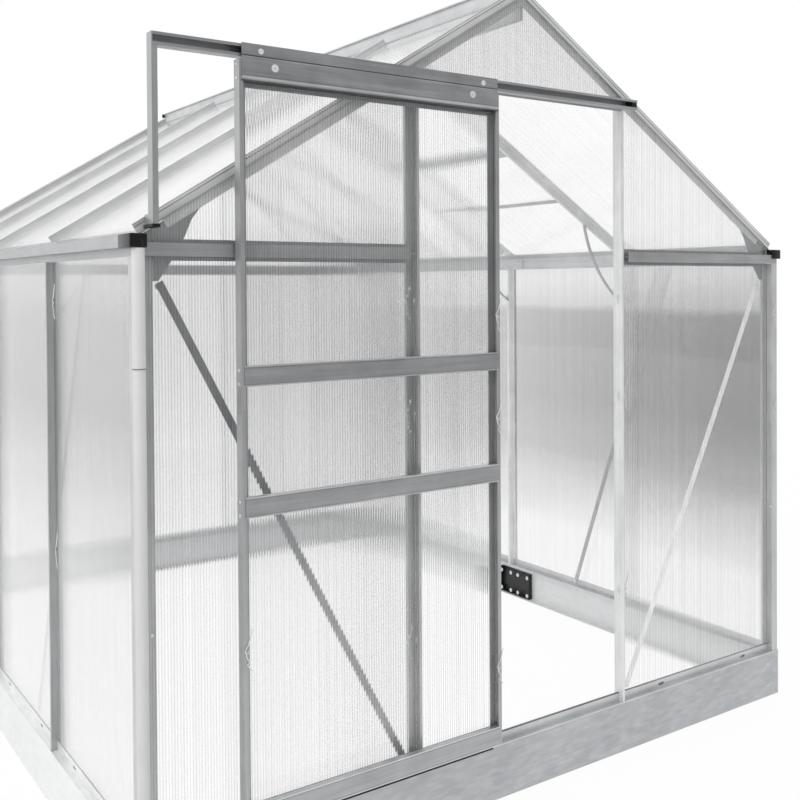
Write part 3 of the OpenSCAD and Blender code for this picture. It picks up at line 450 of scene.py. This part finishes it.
def sheet_walls(name):
    """The thin walls inside a sheet: clear plastic seen edge on, so milky."""
    material, tree = empty_material(name)
    place = add(tree, "ShaderNodeTexCoord").outputs["Object"]
    cloud = add(tree, "ShaderNodeTexNoise", {"Vector": place, "Scale": 30.0, "Detail": 2.0})
    tone = remap(tree, cloud.outputs["Fac"], (0.0, 0.90), (1.0, 1.0))
    milky = add(tree, "ShaderNodeBsdfPrincipled", {"Base Color": tone, "Roughness": 0.25, "IOR": 1.58})
    clear = add(tree, "ShaderNodeBsdfTransparent", {"Color": (1, 1, 1, 1)})
    shown = add(tree, "ShaderNodeMixShader", {0: 0.06, 1: clear.outputs[0], 2: milky.outputs[0]})
    add(tree, "ShaderNodeOutputMaterial", {"Surface": shown.outputs[0]})
    return material


wall_of_sheet = sheet_walls("twin_wall_polycarbonate_inner_walls")
print("sheet finishes:", len([m for m in bpy.data.materials if "polycarbonate" in m.name]))

# %% [markdown]
# ## Finishes onto the frame
# Each node of the frame keeps its mesh and takes one of the finishes above. The table
# reads like a parts list, by the direction in which each section runs.

# %% Dress the frame
FINISH = {
    "base_front": base_cross_zinc, "base_back": base_back_zinc, "base_left": base_long_zinc,
    "base_right": base_long_zinc, "base_splices": black_paint, "sill_front": sill_metal,
    "sill_back": sill_metal, "sill_left": left_sill_metal, "sill_right": long_metal,
    "corner_posts": corner_metal, "wall_posts": wall_post_metal, "door_jambs": jamb_metal,
    "back_posts": post_metal, "eave_left": eave_metal, "eave_right": long_metal,
    "eave_splices": long_metal, "gutter_end_caps": black_moulding, "downpipes": white_pipe,
    "front_cross_bars": lintel_metal, "back_cross_bars": lintel_metal, "door_header": lintel_metal,
    "front_verge_bars": verge_metal, "back_verge_bars": verge_metal, "ridge_beam": long_metal,
    "ridge_end_caps": black_moulding, "roof_bars": roof_metal, "knee_braces": brace_metal,
    "gable_braces": gable_brace_metal, "wall_braces": brace_metal, "corner_gussets": brace_metal,
    "left_wall_sheets": left_sheet, "right_wall_sheets": right_sheet,
    "front_gable_sheets": gable_sheet, "back_gable_sheets": gable_sheet,
    "left_roof_sheets": roof_sheet, "right_roof_sheets": roof_sheet, "vent_frame": roof_metal,
    "vent_sheet": roof_sheet, "vent_purlins": purlin_metal, "door_track": lintel_metal,
    "track_post": stile_metal, "track_end_cap": black_moulding, "door_stiles": stile_metal,
    "door_rails": rail_metal, "door_hanger": hanger_metal, "door_rollers": black_moulding,
    "door_sheets": door_sheet, "door_glide": black_moulding,
}
for name, node in nodes.items():
    node.data.materials.clear()
    node.data.materials.append(FINISH[name])
print("dressed", len(FINISH), "of", len(nodes), "nodes")

# %% [markdown]
# ## One Geometry Nodes tree for everything that repeats
# Ribs, bolts, rivets and wire clips are all one small part copied to many places. The
# copies could be linked objects, but a tree that instances one part on a cloud of
# points needs one object only, and it turns into one plain mesh. Each point carries
# two attributes: "turn", its rotation, and "stretch", its scale.

# %% The repeating tree
def repeating_tree():
    tree = bpy.data.node_groups.new("one_part_at_every_point", "GeometryNodeTree")
    face = tree.interface
    for name, kind in (("Points", "Geometry"), ("Part", "Object"), ("Finish", "Material"),
                       ("Size", "Float"), ("Spin", "Float")):
        face.new_socket(name, in_out="INPUT", socket_type="NodeSocket" + kind)
    face.new_socket("Geometry", in_out="OUTPUT", socket_type="NodeSocketGeometry")
    given = add(tree, "NodeGroupInput")
    turn = add(tree, "GeometryNodeInputNamedAttribute", {"Name": "turn"}, data_type="FLOAT_VECTOR")
    stretch = add(tree, "GeometryNodeInputNamedAttribute", {"Name": "stretch"}, data_type="FLOAT_VECTOR")
    part = add(tree, "GeometryNodeObjectInfo", {"Object": given.outputs["Part"]},
               transform_space="ORIGINAL")
    chance = add(tree, "FunctionNodeRandomValue", {"Seed": 7}, data_type="FLOAT")
    spin = maths(tree, "MULTIPLY", chance.outputs[1], given.outputs["Spin"])
    about = add(tree, "ShaderNodeCombineXYZ", {"Z": spin})
    aimed = add(tree, "FunctionNodeEulerToRotation", {0: turn.outputs["Attribute"]})
    spun = add(tree, "FunctionNodeEulerToRotation", {0: about.outputs[0]})
    both = add(tree, "FunctionNodeRotateRotation", {0: aimed.outputs[0], 1: spun.outputs[0]},
               rotation_space="LOCAL")
    size = add(tree, "ShaderNodeVectorMath",
               {0: stretch.outputs["Attribute"], "Scale": given.outputs["Size"]}, operation="SCALE")
    placed = add(tree, "GeometryNodeInstanceOnPoints",
                 {"Points": given.outputs["Points"], "Instance": part.outputs["Geometry"],
                  "Rotation": both.outputs[0], "Scale": size.outputs[0]})
    plain = add(tree, "GeometryNodeRealizeInstances", {0: placed.outputs[0]})
    painted = add(tree, "GeometryNodeSetMaterial",
                  {"Geometry": plain.outputs[0], "Material": given.outputs["Finish"]})
    add(tree, "NodeGroupOutput", {"Geometry": painted.outputs[0]})
    return tree


REPEAT = repeating_tree()
SOCKET = {item.name: item.identifier for item in REPEAT.interface.items_tree}


def facing(normal, up=(0, 0, 1)):
    """A rotation that turns a part's own Z to the normal and its Y as near to up as it can."""
    z = Vector(normal).normalized()
    x = Vector(up).cross(z).normalized()
    return Matrix((x, z.cross(x), z)).transposed().to_euler()


def repeat(name, part, finish, spots, body, spin=0.0):
    """Spots are (place, rotation, stretch). Gives one plain mesh that rides on one body."""
    cloud = bpy.data.meshes.new(name)
    cloud.from_pydata([spot[0] for spot in spots], [], [])
    for key, column in (("turn", 1), ("stretch", 2)):
        values = cloud.attributes.new(key, "FLOAT_VECTOR", "POINT")
        values.data.foreach_set("vector", [v for spot in spots for v in spot[column]])
    piece = bpy.data.objects.new(name, cloud)
    bpy.context.scene.collection.objects.link(piece)
    modifier = piece.modifiers.new("repeat", "NODES")
    modifier.node_group = REPEAT
    for key, value in (("Part", part), ("Finish", finish), ("Size", 1.0), ("Spin", spin)):
        modifier[SOCKET[key]] = value
    depsgraph = bpy.context.evaluated_depsgraph_get()
    plain = bpy.data.meshes.new_from_object(piece.evaluated_get(depsgraph), depsgraph=depsgraph)
    piece.modifiers.clear()
    piece.data = plain
    plain.name = name
    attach(piece, body)
    print(f"{name}: {len(spots)} places, {len(plain.polygons)} faces on {body}")
    return piece


def pattern_part(name, mesh):
    """A part that is only copied: it goes into the scene for now and is taken out at the end."""
    part = bpy.data.objects.new(name, mesh)
    bpy.context.scene.collection.objects.link(part)
    return part


ONE, FULL_TURN = (1.0, 1.0, 1.0), 6.28

# %% [markdown]
# ## The ribs inside the sheets
# Between the two skins stands one thin wall every 6 mm. On the walls and gables the
# walls stand upright and under the roof they run down the slope. One unit box is the
# rib, and each point stretches it to its own length, so the ribs of a gable end where
# the slope of the roof cuts them.

# %% Ribs of the sheets
def unit_box():
    mesh = bpy.data.meshes.new("unit_box")
    corners = [(x, y, z) for z in (-0.5, 0.5) for y in (-0.5, 0.5) for x in (-0.5, 0.5)]
    sides = [(0, 2, 3, 1), (4, 5, 7, 6), (0, 1, 5, 4), (2, 6, 7, 3), (0, 4, 6, 2), (1, 3, 7, 5)]
    mesh.from_pydata(corners, [], sides)
    return mesh


rib = pattern_part("rib", unit_box())
RIB_T, RIB_D, SHEET_T = 0.35 * MM, 3.5 * MM, 4 * MM


def side_of(low):
    """1 on the positive side, -1 on the negative side."""
    return 1 if low > 0 else -1


def rib_places(low, high):
    """Whole numbers of the pitch, so that the walls stand on the lines of the skins."""
    return [i * RIB_PITCH for i in range(math.ceil(low / RIB_PITCH), math.floor(high / RIB_PITCH) + 1)]


def upright_ribs(node, across):
    """Ribs of a wall, gable or door sheet; a gable's sloping top cuts them to length."""
    spots = []
    for low, high in islands(node):
        other = "Y" if across == "X" else "X"
        i, j = "XYZ".index(across), "XYZ".index(other)
        sloping = across == "X" and high.z > 1.6 and "gable" in node
        for at in rib_places(low[i] + 1 * MM, high[i] - 1 * MM):
            top = high.z
            if sloping:
                inner = min(abs(low.x), abs(high.x)) if low.x * high.x > 0 else 0.004
                top = min(high.z, high.z - (abs(at) - inner) * math.tan(ROOF_PITCH))
            if top - low.z < 10 * MM:
                continue
            place = [0, 0, (low.z + top) / 2]
            place[i], place[j] = at, (low[j] + high[j]) / 2
            thick = [RIB_D, RIB_D, top - low.z - 1 * MM]
            thick[i] = RIB_T
            spots.append((place, (0, 0, 0), thick))
    return spots


def roof_ribs(node):
    spots = []
    for low, high in islands(node):
        side = side_of(low.x + high.x)
        length = (high.x - low.x - SHEET_T * math.sin(ROOF_PITCH)) / math.cos(ROOF_PITCH)
        turn = (0, side * ROOF_PITCH, 0)
        for at in rib_places(low.y + 1 * MM, high.y - 1 * MM):
            spots.append((((low.x + high.x) / 2, at, (low.z + high.z) / 2), turn,
                          (length - 2 * MM, RIB_T, RIB_D)))
    return spots


RIBS = {
    "ribs_left_wall": (upright_ribs("left_wall_sheets", "Y"), "frame"),
    "ribs_right_wall": (upright_ribs("right_wall_sheets", "Y"), "frame"),
    "ribs_front_gable": (upright_ribs("front_gable_sheets", "X"), "frame"),
    "ribs_back_gable": (upright_ribs("back_gable_sheets", "X"), "frame"),
    "ribs_left_roof": (roof_ribs("left_roof_sheets"), "frame"),
    "ribs_right_roof": (roof_ribs("right_roof_sheets") + roof_ribs("vent_sheet"), "frame"),
    "ribs_door": (upright_ribs("door_sheets", "X"), "door"),
}
for name, (spots, body) in RIBS.items():
    repeat(name, rib, wall_of_sheet, spots, body)

# %% [markdown]
# ## Bolts, screws and rivets
# The frame is held with domed bolts, the door with small pan screws and the base with
# pop rivets. Each head is a profile turned round its axis, drawn once with a few dozen
# faces and copied by the tree. Every head has a random turn, as fitted by hand.

# %% Heads
def turned(name, profile, steps):
    """A closed shape from (radius, height) points, from the top of the axis to its foot."""
    rings = [p for p in profile if p[0] > 0]
    verts = [(0, 0, profile[0][1] * MM)]
    for r, h in rings:
        for k in range(steps):
            a = 2 * math.pi * k / steps
            verts.append((r * MM * math.cos(a), r * MM * math.sin(a), h * MM))
    verts.append((0, 0, profile[-1][1] * MM))
    faces = []
    for k in range(steps):
        after = (k + 1) % steps
        faces.append((0, 1 + k, 1 + after))
        for ring in range(len(rings) - 1):
            a, b = 1 + ring * steps, 1 + (ring + 1) * steps
            faces.append((a + k, b + k, b + after, a + after))
        a = 1 + (len(rings) - 1) * steps
        faces.append((a + after, a + k, len(verts) - 1))
    mesh = bpy.data.meshes.new(name)
    mesh.from_pydata(verts, [], faces)
    return mesh


domed_bolt = pattern_part("domed_bolt", turned("domed_bolt", [
    (0, 2.6), (1.2, 2.6), (1.5, 3.9), (2.6, 3.6), (4.0, 2.4), (4.6, 1.0), (4.7, 0.8), (6.0, 0.7),
    (6.0, -0.4), (0, -0.4)], 20))
pan_screw = pattern_part("pan_screw", turned("pan_screw", [
    (0, 1.2), (0.9, 1.2), (1.1, 2.0), (2.4, 1.8), (3.2, 0.9), (3.3, -0.4), (0, -0.4)], 16))
pop_rivet = pattern_part("pop_rivet", turned("pop_rivet", [
    (0, 0.6), (1.0, 0.7), (1.2, 1.4), (2.4, 1.0), (3.2, 0.2), (3.2, -0.4), (0, -0.4)], 16))

# Zinc plated steel: brighter and a little bluer than the aluminium round it.
bolt_zinc = moulded("zinc_plated_steel_bolts", "#e4e6e8", 0.34, 0.8 * MM, spread=0.16, ior=1.5, metallic=0.6)


def both_ends(points, normal):
    """Points of one gable and their mirror images in the other three corners."""
    return [((x * sx, y * sy, z), facing((normal[0] * sx, normal[1] * sy, normal[2])), ONE)
            for x, y, z in points for sx in (1, -1) for sy in (1, -1)]


stile_low, stile_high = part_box("door_stiles")
door_mid = (hanger_low.x + hanger_high.x - 2 * MM) / 2
face_y = hanger_low.y + 2 * MM
front = facing((0, -1, 0))
hanger_bolts = [((door_mid + side * out * MM, face_y, hanger_high.z - down * MM), front, stretch)
                for out, down, stretch in ((273, 13.5, (1, 1, 0.5)), (243, 43, (1.35, 1.35, 0.5)))
                for side in (-1, 1)]
repeat("door_hanger_bolts", domed_bolt, bolt_zinc, hanger_bolts, "door", spin=FULL_TURN)

screw_y = stile_low.y + 12 * MM
screw_heights = [z for low, high in rails for z in (low.z + 5 * MM, high.z - 9 * MM)]
screw_heights += [hanger_low.z + 16 * MM, stile_high.z - 9 * MM]
stile_screws = [((x, screw_y, z), facing((side, 0, 0)), ONE)
                for z in screw_heights for x, side in ((stile_low.x, -1), (stile_high.x, 1))]
repeat("door_stile_screws", pan_screw, bolt_zinc, stile_screws, "door", spin=FULL_TURN)

# %% [markdown]
# The frame's own bolts stand where one part crosses another: at the ends of the
# braces, on the corner plates and on the plates that join the eave beams.

# %% Frame bolts
base_low, base_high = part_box("base_front")
gusset_low, gusset_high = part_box("corner_gussets")
brace_low, brace_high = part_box("gable_braces")
wall_brace_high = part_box("wall_braces")[1]
splice_low, splice_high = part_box("eave_splices")
BAR_T, PLATE_T = 2.5 * MM, 2 * MM
brace_y, plate_y = brace_high.y - BAR_T, gusset_high.y - PLATE_T
bolts = both_ends([
    (brace_high.x - 6 * MM, brace_y, brace_high.z - 12 * MM),
    (brace_low.x + 1250 * MM, brace_y, brace_low.z + 9 * MM),
    (gusset_high.x - 24 * MM, plate_y, gusset_low.z + 76 * MM),
    (gusset_high.x - 70 * MM, plate_y, gusset_low.z + 118 * MM),
    (gusset_high.x - 110 * MM, plate_y, gusset_low.z + 150 * MM)], (0, -1, 0))
wall_x = wall_brace_high.x - BAR_T
for low, high in islands("wall_braces"):
    side = side_of(low.x)
    top_y, foot_y = sorted((low.y, high.y), key=abs, reverse=True)
    inward = side_of(top_y) * 7 * MM
    bolts += [((side * wall_x, top_y - inward, high.z - 12 * MM), facing((-side, 0, 0)), ONE),
              ((side * wall_x, foot_y + inward, low.z + 12 * MM), facing((-side, 0, 0)), ONE)]
bolts += [((side * (splice_high.x - PLATE_T), y * MM, z), facing((-side, 0, 0)), (0.8, 0.8, 0.8))
          for side in (1, -1) for y in (-60, -36, 36, 60)
          for z in (splice_low.z + 7 * MM, splice_high.z - 7 * MM)]
for low, high in islands("knee_braces"):
    side, mid = side_of(low.x), (low.y + high.y) / 2
    inner, outer = sorted((abs(low.x), abs(high.x)))
    down_slope = facing((-side * math.sin(ROOF_PITCH), 0, -math.cos(ROOF_PITCH)), (0, 1, 0))
    bolts += [((side * (outer - 3 * MM), mid, low.z + 16 * MM), facing((-side, 0, 0)), ONE),
              ((side * (inner + 7 * MM), mid, high.z - 4 * MM), down_slope, ONE)]
repeat("frame_bolts", domed_bolt, bolt_zinc, bolts, "frame", spin=FULL_TURN)

face, out = -base_low.y, base_high.x
rivets = both_ends([(out - 46 * MM, face, 95 * MM), (out - 46 * MM, face, 30 * MM),
                    (out - 30 * MM, face - BAR_T, 560 * MM)], (0, 1, 0))
repeat("gable_rivets", pop_rivet, bolt_zinc, rivets, "frame", spin=FULL_TURN)

plate_screws = [((side_of(low.x) * min(abs(low.x), abs(high.x)), y * MM, z * MM),
                 facing((-side_of(low.x), 0, 0)), (2.3, 2.3, 1.3))
                for low, high in islands("base_splices") for y in (-80, -22, 22, 80) for z in (15, 84)]
repeat("base_plate_screws", pan_screw, bolt_zinc, plate_screws, "frame", spin=FULL_TURN)

# %% [markdown]
# ## Gutter ends and pipe fittings
# The end of each gutter is closed with a moulded black tray. Where a pipe hangs under
# it, a round spout runs down into the pipe. The tray is a box with rounded edges whose
# top is let in, and the spout and the rings round the pipe are turned profiles.

# %% Gutter ends
SHARP = math.radians(35)  # an edge that turns more than this stays crisp


def smooth(mesh):
    mesh.polygons.foreach_set("use_smooth", [True] * len(mesh.polygons))
    mesh.set_sharp_from_angle(angle=SHARP)


def rounded_box(low, high, radius, let_in=0.0):
    """A box with rounded edges; its top can be let in, to leave a rim."""
    shape = bmesh.new()
    size = Matrix.Diagonal((*(high - low), 1.0))
    bmesh.ops.create_cube(shape, size=1.0, matrix=Matrix.Translation((low + high) / 2) @ size)
    bmesh.ops.bevel(shape, geom=shape.edges[:], offset=radius, segments=3, affect="EDGES", profile=0.5)
    if let_in:
        top = max(shape.faces, key=lambda f: (round(f.normal.z, 2), f.calc_area()))
        bmesh.ops.inset_region(shape, faces=[top], thickness=1.6 * MM)
        for vert in top.verts:
            vert.co.z -= let_in
    return shape


def joined(name, shapes, finish, body):
    """One piece from bmesh shapes and (mesh, place) pairs."""
    mesh = bpy.data.meshes.new(name)
    whole = bmesh.new()
    for shape in shapes:
        if isinstance(shape, tuple):
            part, place = shape
            moved = part.copy()
            moved.transform(Matrix.Translation(place))
            whole.from_mesh(moved)
        else:
            part = bpy.data.meshes.new("part")
            shape.to_mesh(part)
            whole.from_mesh(part)
    bmesh.ops.recalc_face_normals(whole, faces=whole.faces)
    whole.to_mesh(mesh)
    smooth(mesh)
    mesh.materials.append(finish)
    piece = bpy.data.objects.new(name, mesh)
    bpy.context.scene.collection.objects.link(piece)
    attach(piece, body)
    print(f"{name}: {len(mesh.polygons)} faces on {body}")
    return piece


spout = turned("spout", [(0, 18), (9, 18), (12.0, 16.5), (13.2, 13.5), (13.4, 3), (13.0, 0.4), (0, 0.4)], 32)
pipes = islands("downpipes")
fittings = []
for low, high in islands("gutter_end_caps"):
    corner = (side_of(low.x), side_of(low.y))
    a, b = low.copy(), high.copy()
    for pipe_low, pipe_high in pipes:
        if (side_of(pipe_low.x), side_of(pipe_low.y)) == corner:
            # The tray over a pipe stops short of the frame's end by the thickness of a lip.
            reach = sorted((abs(low.y), abs(high.y)))
            a.y, b.y = sorted((corner[1] * (reach[1] - 2.6 * MM), corner[1] * reach[0]))
            middle = (pipe_low + pipe_high) / 2
            fittings.append((spout, (middle.x, middle.y, low.z)))
    fittings.append(rounded_box(a, b, 2.4 * MM, 5 * MM))
ends = joined("gutter_end_fittings", fittings, black_moulding, "frame")
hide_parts("gutter_end_caps")


def band(name, inner, outer, height, steps=32):
    """A closed ring with a square section, in millimetres, round the Z axis."""
    verts, faces = [], []
    section = [(inner, 0), (outer, 0), (outer, height), (inner, height)]
    for k in range(steps):
        a = 2 * math.pi * k / steps
        verts += [(r * MM * math.cos(a), r * MM * math.sin(a), z * MM) for r, z in section]
        nxt = (k + 1) % steps
        faces += [(k * 4 + i, nxt * 4 + i, nxt * 4 + (i + 1) % 4, k * 4 + (i + 1) % 4) for i in range(4)]
    mesh = bpy.data.meshes.new(name)
    mesh.from_pydata(verts, [], faces)
    return mesh


# The sleeve joint of the pipe shows as a grey line, and a wire tie holds its foot.
JOINT_Z, TIE_Z = 1066 * MM, 168 * MM
joint_band, tie_band = band("joint_band", 11.0, 12.65, 1.6), band("tie_band", 11.0, 13.0, 1.6)
rubber = moulded("grey_rubber_joint", "#6c6e70", 0.5, 0.8 * MM)
rings = []
for low, high in pipes:
    middle = (low + high) / 2
    rings += [(joint_band, (middle.x, middle.y, JOINT_Z)), (tie_band, (middle.x, middle.y, TIE_Z))]
joined("downpipe_joint_bands", rings, rubber, "frame")

foot_low, foot_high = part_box("track_post")
rim = Vector((2.5, 2.5, 0)) * MM
foot_top = Vector((foot_high.x, foot_high.y, foot_low.z + 7 * MM))
joined("track_post_foot", [rounded_box(foot_low - rim, foot_top + rim, 1.6 * MM)], black_moulding,
       "frame")

# %% [markdown]
# ## Wire glazing clips
# A spring clip of bent wire presses each sheet against its bar: its two long arms rest on
# the sheets and its loop hooks under the bar's edge. It is one bent line with a
# round section, so a curve with a bevel makes it, and the tree copies it up each post.

# %% Clips
def bent_wire(name, points, radius):
    data = bpy.data.curves.new(name, "CURVE")
    data.dimensions = "3D"
    data.bevel_depth = radius
    data.bevel_resolution = 1
    data.use_fill_caps = True
    line = data.splines.new("POLY")
    line.points.add(len(points) - 1)
    for point, (x, y, z) in zip(line.points, points):
        point.co = (x * MM, y * MM, z * MM, 1)
    holder = bpy.data.objects.new(name, data)
    bpy.context.scene.collection.objects.link(holder)
    depsgraph = bpy.context.evaluated_depsgraph_get()
    mesh = bpy.data.meshes.new_from_object(holder.evaluated_get(depsgraph), depsgraph=depsgraph)
    bpy.data.objects.remove(holder)
    return mesh


clip_line = [(11, 42, 0.8), (6, 27, 1.2), (1, 12, 1.4), (-4, 6, 1.4), (-6, 1, 1.4), (-3, -4, 1.6),
             (2, -4, 1.8), (1, 1, 2.0), (-3, 0, 1.8), (-4, -6, 1.6), (-1, -14, 1.4), (4, -20, 1.4),
             (-1, -26, 1.2), (9, -40, 0.8)]
clip = pattern_part("glazing_clip", bent_wire("glazing_clip", clip_line, 1.2 * MM))
# Stainless spring wire: bright, with a clear highlight.
clip_wire = moulded("stainless_spring_wire", "#e3e4e5", 0.24, 0.6 * MM, spread=0.08, ior=1.5, metallic=0.4)

SHEET_OUT, GABLE_OUT, CORNER_OUT = 932.5 * MM, 1232.5 * MM, 932 * MM
clips = []
for low, high in islands("wall_posts"):
    side = side_of(low.x)
    clips += [((side * SHEET_OUT, (low.y + high.y) / 2 + off * MM, z * MM), facing((side, 0, 0)), ONE)
              for z in (1185, 600) for off in (-12, 12)]
for node, sign in (("door_jambs", -1), ("back_posts", 1)):
    for low, high in islands(node):
        clips += [(((low.x + high.x) / 2 + off * MM, sign * GABLE_OUT, z * MM), facing((0, sign, 0)), ONE)
                  for z in (1183, 930, 420) for off in (-12, 12)]
for low, high in islands("corner_posts"):
    sx, sy = side_of(low.x), side_of(low.y)
    if (sx, sy) != (-1, -1):  # the downpipe stands there
        clips += [((sx * CORNER_OUT, sy * max(abs(low.y), abs(high.y)), z * MM), facing((0, sy, 0)),
                   (1.3, 0.8, 1)) for z in (1134, 845)]
repeat("frame_glazing_clips", clip, clip_wire, clips, "frame")
clip_in, clip_y = 7 * MM, stile_low.y - 0.2 * MM
door_clips = [((x, clip_y, z * MM), front, ONE)
              for x, z in ((stile_high.x - clip_in, 1148), (stile_high.x - clip_in, 910),
                           (stile_high.x - clip_in, 328), (stile_low.x + clip_in, 500))]
repeat("door_glazing_clips", clip, clip_wire, door_clips, "door")
print("clips on the frame:", len(clips), "and on the door:", len(door_clips))

# %% [markdown]
# ## Floor, sky and lamps
# A kit like this is shown on a plain pale floor. The world is white to the camera and to
# anything that mirrors or lets light through, except in front of the door gable,
# where a studio is dark behind the camera: that is what gives the bare metal facing that
# way its mid grey, while the metal facing left stays bright. The floor is mostly
# white on its own and takes a little of the shadow.

# %% World
world = bpy.data.worlds.new("studio")
bpy.context.scene.world = world
world.use_nodes = True
sky = world.node_tree
sky.nodes.clear()
rays = add(sky, "ShaderNodeLightPath")
toward = add(sky, "ShaderNodeTexCoord")
heading = add(sky, "ShaderNodeSeparateXYZ", {0: toward.outputs["Generated"]})
front_dark = remap(sky, heading.outputs["Y"], (-0.80, 0.34), (-0.25, 1.0), interpolation_type="SMOOTHSTEP")
# What is mirrored stays mirrored behind a sheet, and what is lit softly stays soft.
mirrored = maths(sky, "GREATER_THAN", rays.outputs["Glossy Depth"], 0.5)
lit_softly = maths(sky, "GREATER_THAN", rays.outputs["Diffuse Depth"], 0.5)
shiny = add(sky, "ShaderNodeMix", {"Factor": mirrored, 2: 1.0, 3: front_dark})
level = add(sky, "ShaderNodeMix", {"Factor": lit_softly, 2: shiny.outputs[0], 3: 0.90})
white = add(sky, "ShaderNodeBackground", {"Color": (1, 1, 1, 1), "Strength": level.outputs[0]})
add(sky, "ShaderNodeOutputWorld", {"Surface": white.outputs[0]})

# %% Floor
floor_mesh = bpy.data.meshes.new("floor")
floor_mesh.from_pydata([(-4, -4.5, 0), (4, -4.5, 0), (4, 4.5, 0), (-4, 4.5, 0)], [], [(0, 1, 2, 3)])
floor = bpy.data.objects.new("floor", floor_mesh)
bpy.context.scene.collection.objects.link(floor)
pale, floor_tree = empty_material("pale_studio_floor")
rays = add(floor_tree, "ShaderNodeLightPath")
seen = maths(floor_tree, "MAXIMUM", rays.outputs["Is Camera Ray"], rays.outputs["Is Glossy Ray"])
seen = maths(floor_tree, "MAXIMUM", seen, rays.outputs["Is Transmission Ray"])
share = maths(floor_tree, "MULTIPLY", seen, 0.94)
speck = add(floor_tree, "ShaderNodeTexNoise", {"Scale": 60.0, "Detail": 3.0})
pale_tone = remap(floor_tree, speck.outputs["Fac"], (0.0, 0.86), (1.0, 0.92))
matt = add(floor_tree, "ShaderNodeBsdfDiffuse", {"Color": pale_tone})
glow = add(floor_tree, "ShaderNodeEmission", {"Color": (1, 1, 1, 1), "Strength": 1.0})
mixed = add(floor_tree, "ShaderNodeMixShader", {0: share, 1: matt.outputs[0], 2: glow.outputs[0]})
add(floor_tree, "ShaderNodeOutputMaterial", {"Surface": mixed.outputs[0]})
floor_mesh.materials.append(pale)

# %% Lamps
def soft_lamp(name, place, target, size, watts):
    data = bpy.data.lights.new(name, "AREA")
    data.shape = "SQUARE"
    data.size = size
    data.energy = watts
    lamp = bpy.data.objects.new(name, data)
    aim = (Vector(target) - Vector(place)).to_track_quat("-Z", "Y")
    lamp.matrix_world = Matrix.Translation(place) @ aim.to_matrix().to_4x4()
    lamp.visible_glossy = lamp.visible_transmission = False
    bpy.context.scene.collection.objects.link(lamp)


soft_lamp("key", (-4.0, -2.5, 4.2), (0, 0, 0.9), 2.5, 90)
soft_lamp("back", (2.0, 4.5, 4.5), (0, 0, 1.0), 2.5, 60)
print("lamps: 2")

# %% [markdown]
# ## Light through many sheets
# A line of sight can cross four sheets, each with two skins and some ribs, so a path may
# bend more than twenty times before it ends. Blender stops a path sooner than that
# by default, and the sheets would turn dark.

# %% Path length
cycles = bpy.context.scene.cycles
cycles.max_bounces = 24
cycles.transmission_bounces = 24
cycles.glossy_bounces = 6
cycles.diffuse_bounces = 3
cycles.transparent_max_bounces = 64
bpy.context.scene.view_settings.view_transform = "Standard"

# %% Tidy up
for part in (rib, domed_bolt, pan_screw, pop_rivet, clip):
    bpy.data.objects.remove(part)
